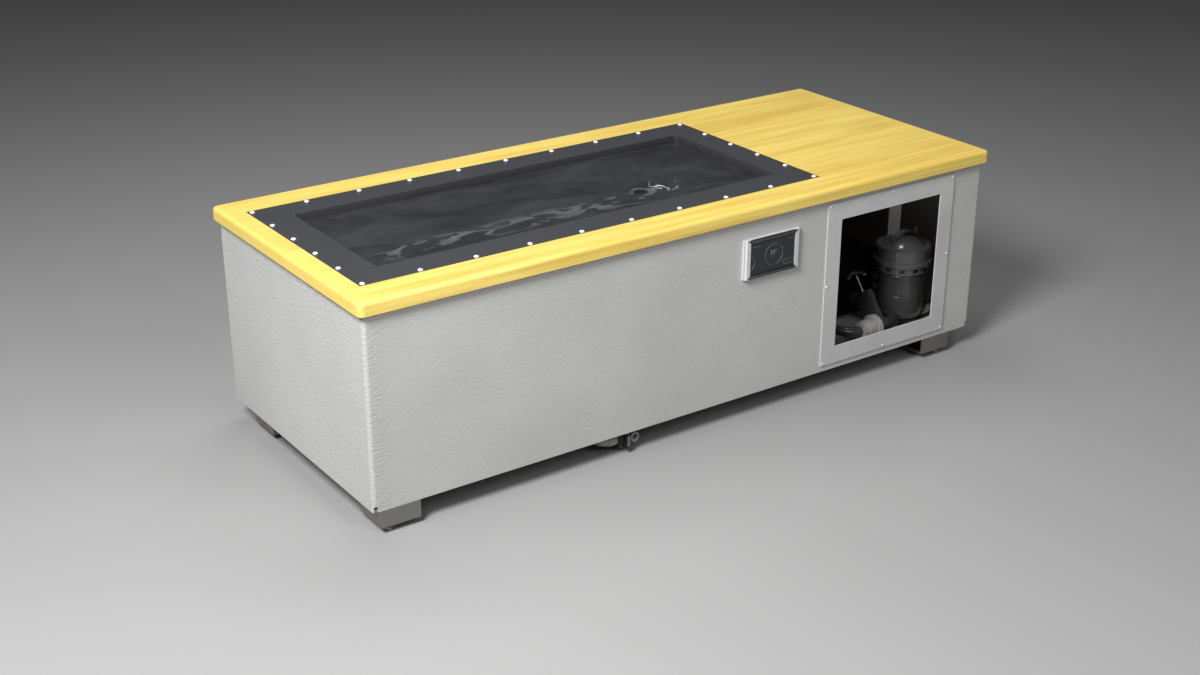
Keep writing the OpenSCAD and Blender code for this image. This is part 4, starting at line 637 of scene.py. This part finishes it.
# %% Vent plug and bleed grip
lid_x, lid_y, handle_half, boss_z = 0.958, -0.2747, 0.052, 0.3826
plug_top = begin(bpy.ops.mesh.primitive_cylinder_add, "vent_plug", vertices=20, radius=0.0085,
                 depth=0.009, location=(lid_x + handle_half, lid_y, boss_z))
bpy.ops.object.mode_set(mode="EDIT")
bpy.ops.mesh.select_all(action="DESELECT")
mesh = bmesh.from_edit_mesh(plug_top.data)
for face in mesh.faces:
    face.select = abs(face.normal.z) < 0.5 and face.index % 2 == 0
bmesh.update_edit_mesh(plug_top.data)
bpy.ops.mesh.inset(thickness=0.0004, depth=-0.0009, use_individual=True)
bpy.ops.mesh.select_all(action="DESELECT")
mesh = bmesh.from_edit_mesh(plug_top.data)
for face in mesh.faces:
    face.select = face.normal.z > 0.9
bmesh.update_edit_mesh(plug_top.data)
bpy.ops.mesh.inset(thickness=0.0022, depth=0.0)
bpy.ops.mesh.extrude_region_move(TRANSFORM_OT_translate={"value": (0.0, 0.0, 0.0022)})
bpy.ops.object.mode_set(mode="OBJECT")
apply_modifier(plug_top, "BEVEL", width=0.0005, segments=2, limit_method="ANGLE")
settle(plug_top, "lid", "filter_plastic")

bleed_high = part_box("filter_relief_knob")[1]
grip_bar = begin(bpy.ops.mesh.primitive_cube_add, "bleed_grip", size=1.0,
                 location=(lid_x - handle_half, lid_y, bleed_high.z - 0.0024))
grip_bar.scale = (0.0200, 0.0066, 0.0062)
bpy.ops.object.transform_apply(location=True, rotation=True, scale=True)
apply_modifier(grip_bar, "BEVEL", width=0.0022, segments=4)
settle(grip_bar, "bleed_knob", "filter_plastic")

# %% [markdown]
# ## Control panel trims
# A sloped black strip runs along the top and the bottom of the glass, with mitred ends that
# lie over the metal caps and three fine raised lines. The glass shows thin grey marks: a
# dial ring with a temperature, an arc, a key outline and a few small signs.

# %% Sloped strips
caps_x = (0.1365, 0.3285)
caps_middle, caps_width = (caps_x[0] + caps_x[1]) / 2, caps_x[1] - caps_x[0]
mitre, line_width = 0.0105, 0.0007
glass_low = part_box("panel_glass")[0]
front = glass_low.y - 0.002
parts, lines = [], []
for outer, inner in ((0.5802, 0.5698), (0.4588, 0.4692)):
    strip = begin(bpy.ops.mesh.primitive_cube_add, "strip", size=1.0, location=(
        caps_middle, front + 0.0020, (outer + inner) / 2))
    strip.scale = (caps_width, 0.0056, abs(outer - inner))
    bpy.ops.object.transform_apply(location=True, rotation=True, scale=True)
    bpy.ops.object.mode_set(mode="EDIT")
    mesh = bmesh.from_edit_mesh(strip.data)
    for vertex in mesh.verts:
        if abs(vertex.co.z - inner) < 0.001:
            vertex.co.x += mitre if vertex.co.x < 0.2 else -mitre
        elif vertex.co.y < front:
            vertex.co.y += 0.0005
    bmesh.update_edit_mesh(strip.data)
    bpy.ops.object.mode_set(mode="OBJECT")
    apply_modifier(strip, "BEVEL", width=0.0004, segments=2, limit_method="ANGLE")
    parts.append(strip)
    for share in (0.3, 0.55, 0.8):
        z = outer + (inner - outer) * share
        rib = begin(bpy.ops.mesh.primitive_cube_add, "line", size=1.0, location=(
            caps_middle, front - 0.0003 - 0.0005 * share, z))
        rib.scale = (caps_width - 0.004 - 2 * mitre * share, line_width, line_width)
        bpy.ops.object.transform_apply(location=True, rotation=True, scale=True)
        apply_modifier(rib, "BEVEL", width=0.0002, segments=2)
        lines.append(rib)
strips = join(parts, "panel_strips")
settle(strips, "cabinet", "strip_black")
ribs = join(lines, "panel_strip_lines")
settle(ribs, "cabinet", "strip_line")

# %% Marks on the glass
marks = []
face_y = glass_low.y - 0.00015


def ring_mark(middle_x, middle_z, radius, keep_from, keep_to):
    ring = begin(bpy.ops.mesh.primitive_torus_add, "ring", major_segments=96,
                 minor_segments=6, major_radius=radius, minor_radius=0.00042,
                 location=(middle_x, face_y, middle_z), rotation=(math.radians(90), 0, 0))
    bpy.ops.object.transform_apply(location=True, rotation=True, scale=True)
    mesh = bmesh.new()
    mesh.from_mesh(ring.data)
    lost = []
    for face in mesh.faces:
        at = face.calc_center_median()
        angle = math.degrees(math.atan2(at.z - middle_z, at.x - middle_x)) % 360
        if not keep_from <= angle <= keep_to:
            lost.append(face)
    bmesh.ops.delete(mesh, geom=lost, context="FACES")
    mesh.to_mesh(ring.data)
    mesh.free()
    bpy.ops.object.mode_set(mode="EDIT")
    bpy.ops.mesh.select_all(action="SELECT")
    bpy.ops.mesh.fill_holes(sides=12)
    bpy.ops.object.mode_set(mode="OBJECT")
    marks.append(ring)


def bar_mark(x, z, width, height, turn=0.0):
    bar = begin(bpy.ops.mesh.primitive_cube_add, "bar", size=1.0, location=(x, face_y, z),
                rotation=(0.0, math.radians(turn), 0.0))
    bar.scale = (width, 0.0006, height)
    bpy.ops.object.transform_apply(location=True, rotation=True, scale=True)
    apply_modifier(bar, "BEVEL", width=0.00014, segments=2)
    marks.append(bar)


dial, arc_ring = (0.238, 0.5195, 0.0335), (0.1395, 0.5075, 0.0240)
for span in ((60, 262), (285, 360), (0, 42)):
    ring_mark(*dial, *span)
for span in ((0, 65), (300, 360)):
    ring_mark(*arc_ring, *span)
number = begin(bpy.ops.object.text_add, "number")
number.data.body, number.data.size, number.data.extrude = "39\u00b0", 0.0190, 0.0003
number.data.align_x = number.data.align_y = "CENTER"
bpy.ops.object.convert(target="MESH")
number.rotation_euler, number.location = (math.radians(90), 0, 0), (0.2365, face_y, 0.5255)
bpy.ops.object.transform_apply(location=True, rotation=True, scale=True)
marks.append(number)
for i, width in enumerate((0.0036, 0.0050, 0.0028)):
    bar_mark(0.2295 + i * 0.0058, 0.5125, width, 0.0010)
for z in (0.4800, 0.4935):
    bar_mark(0.2965, z, 0.0370, 0.0007)
for x in (0.2775, 0.3155):
    bar_mark(x, 0.48675, 0.0007, 0.0120)
for i, width in enumerate((0.0052, 0.0030, 0.0056, 0.0042)):
    bar_mark(0.1620 + i * 0.0072, 0.5560, width, 0.0016)
bar_mark(0.2920, 0.5575, 0.0046, 0.0011, 35.0)
bar_mark(0.3020, 0.5575, 0.0042, 0.0010)
bar_mark(0.3020, 0.5575, 0.0010, 0.0042)
bar_mark(0.3115, 0.5575, 0.0011, 0.0050)
print_piece = join(marks, "panel_marks")
settle(print_piece, "cabinet", "print_grey")
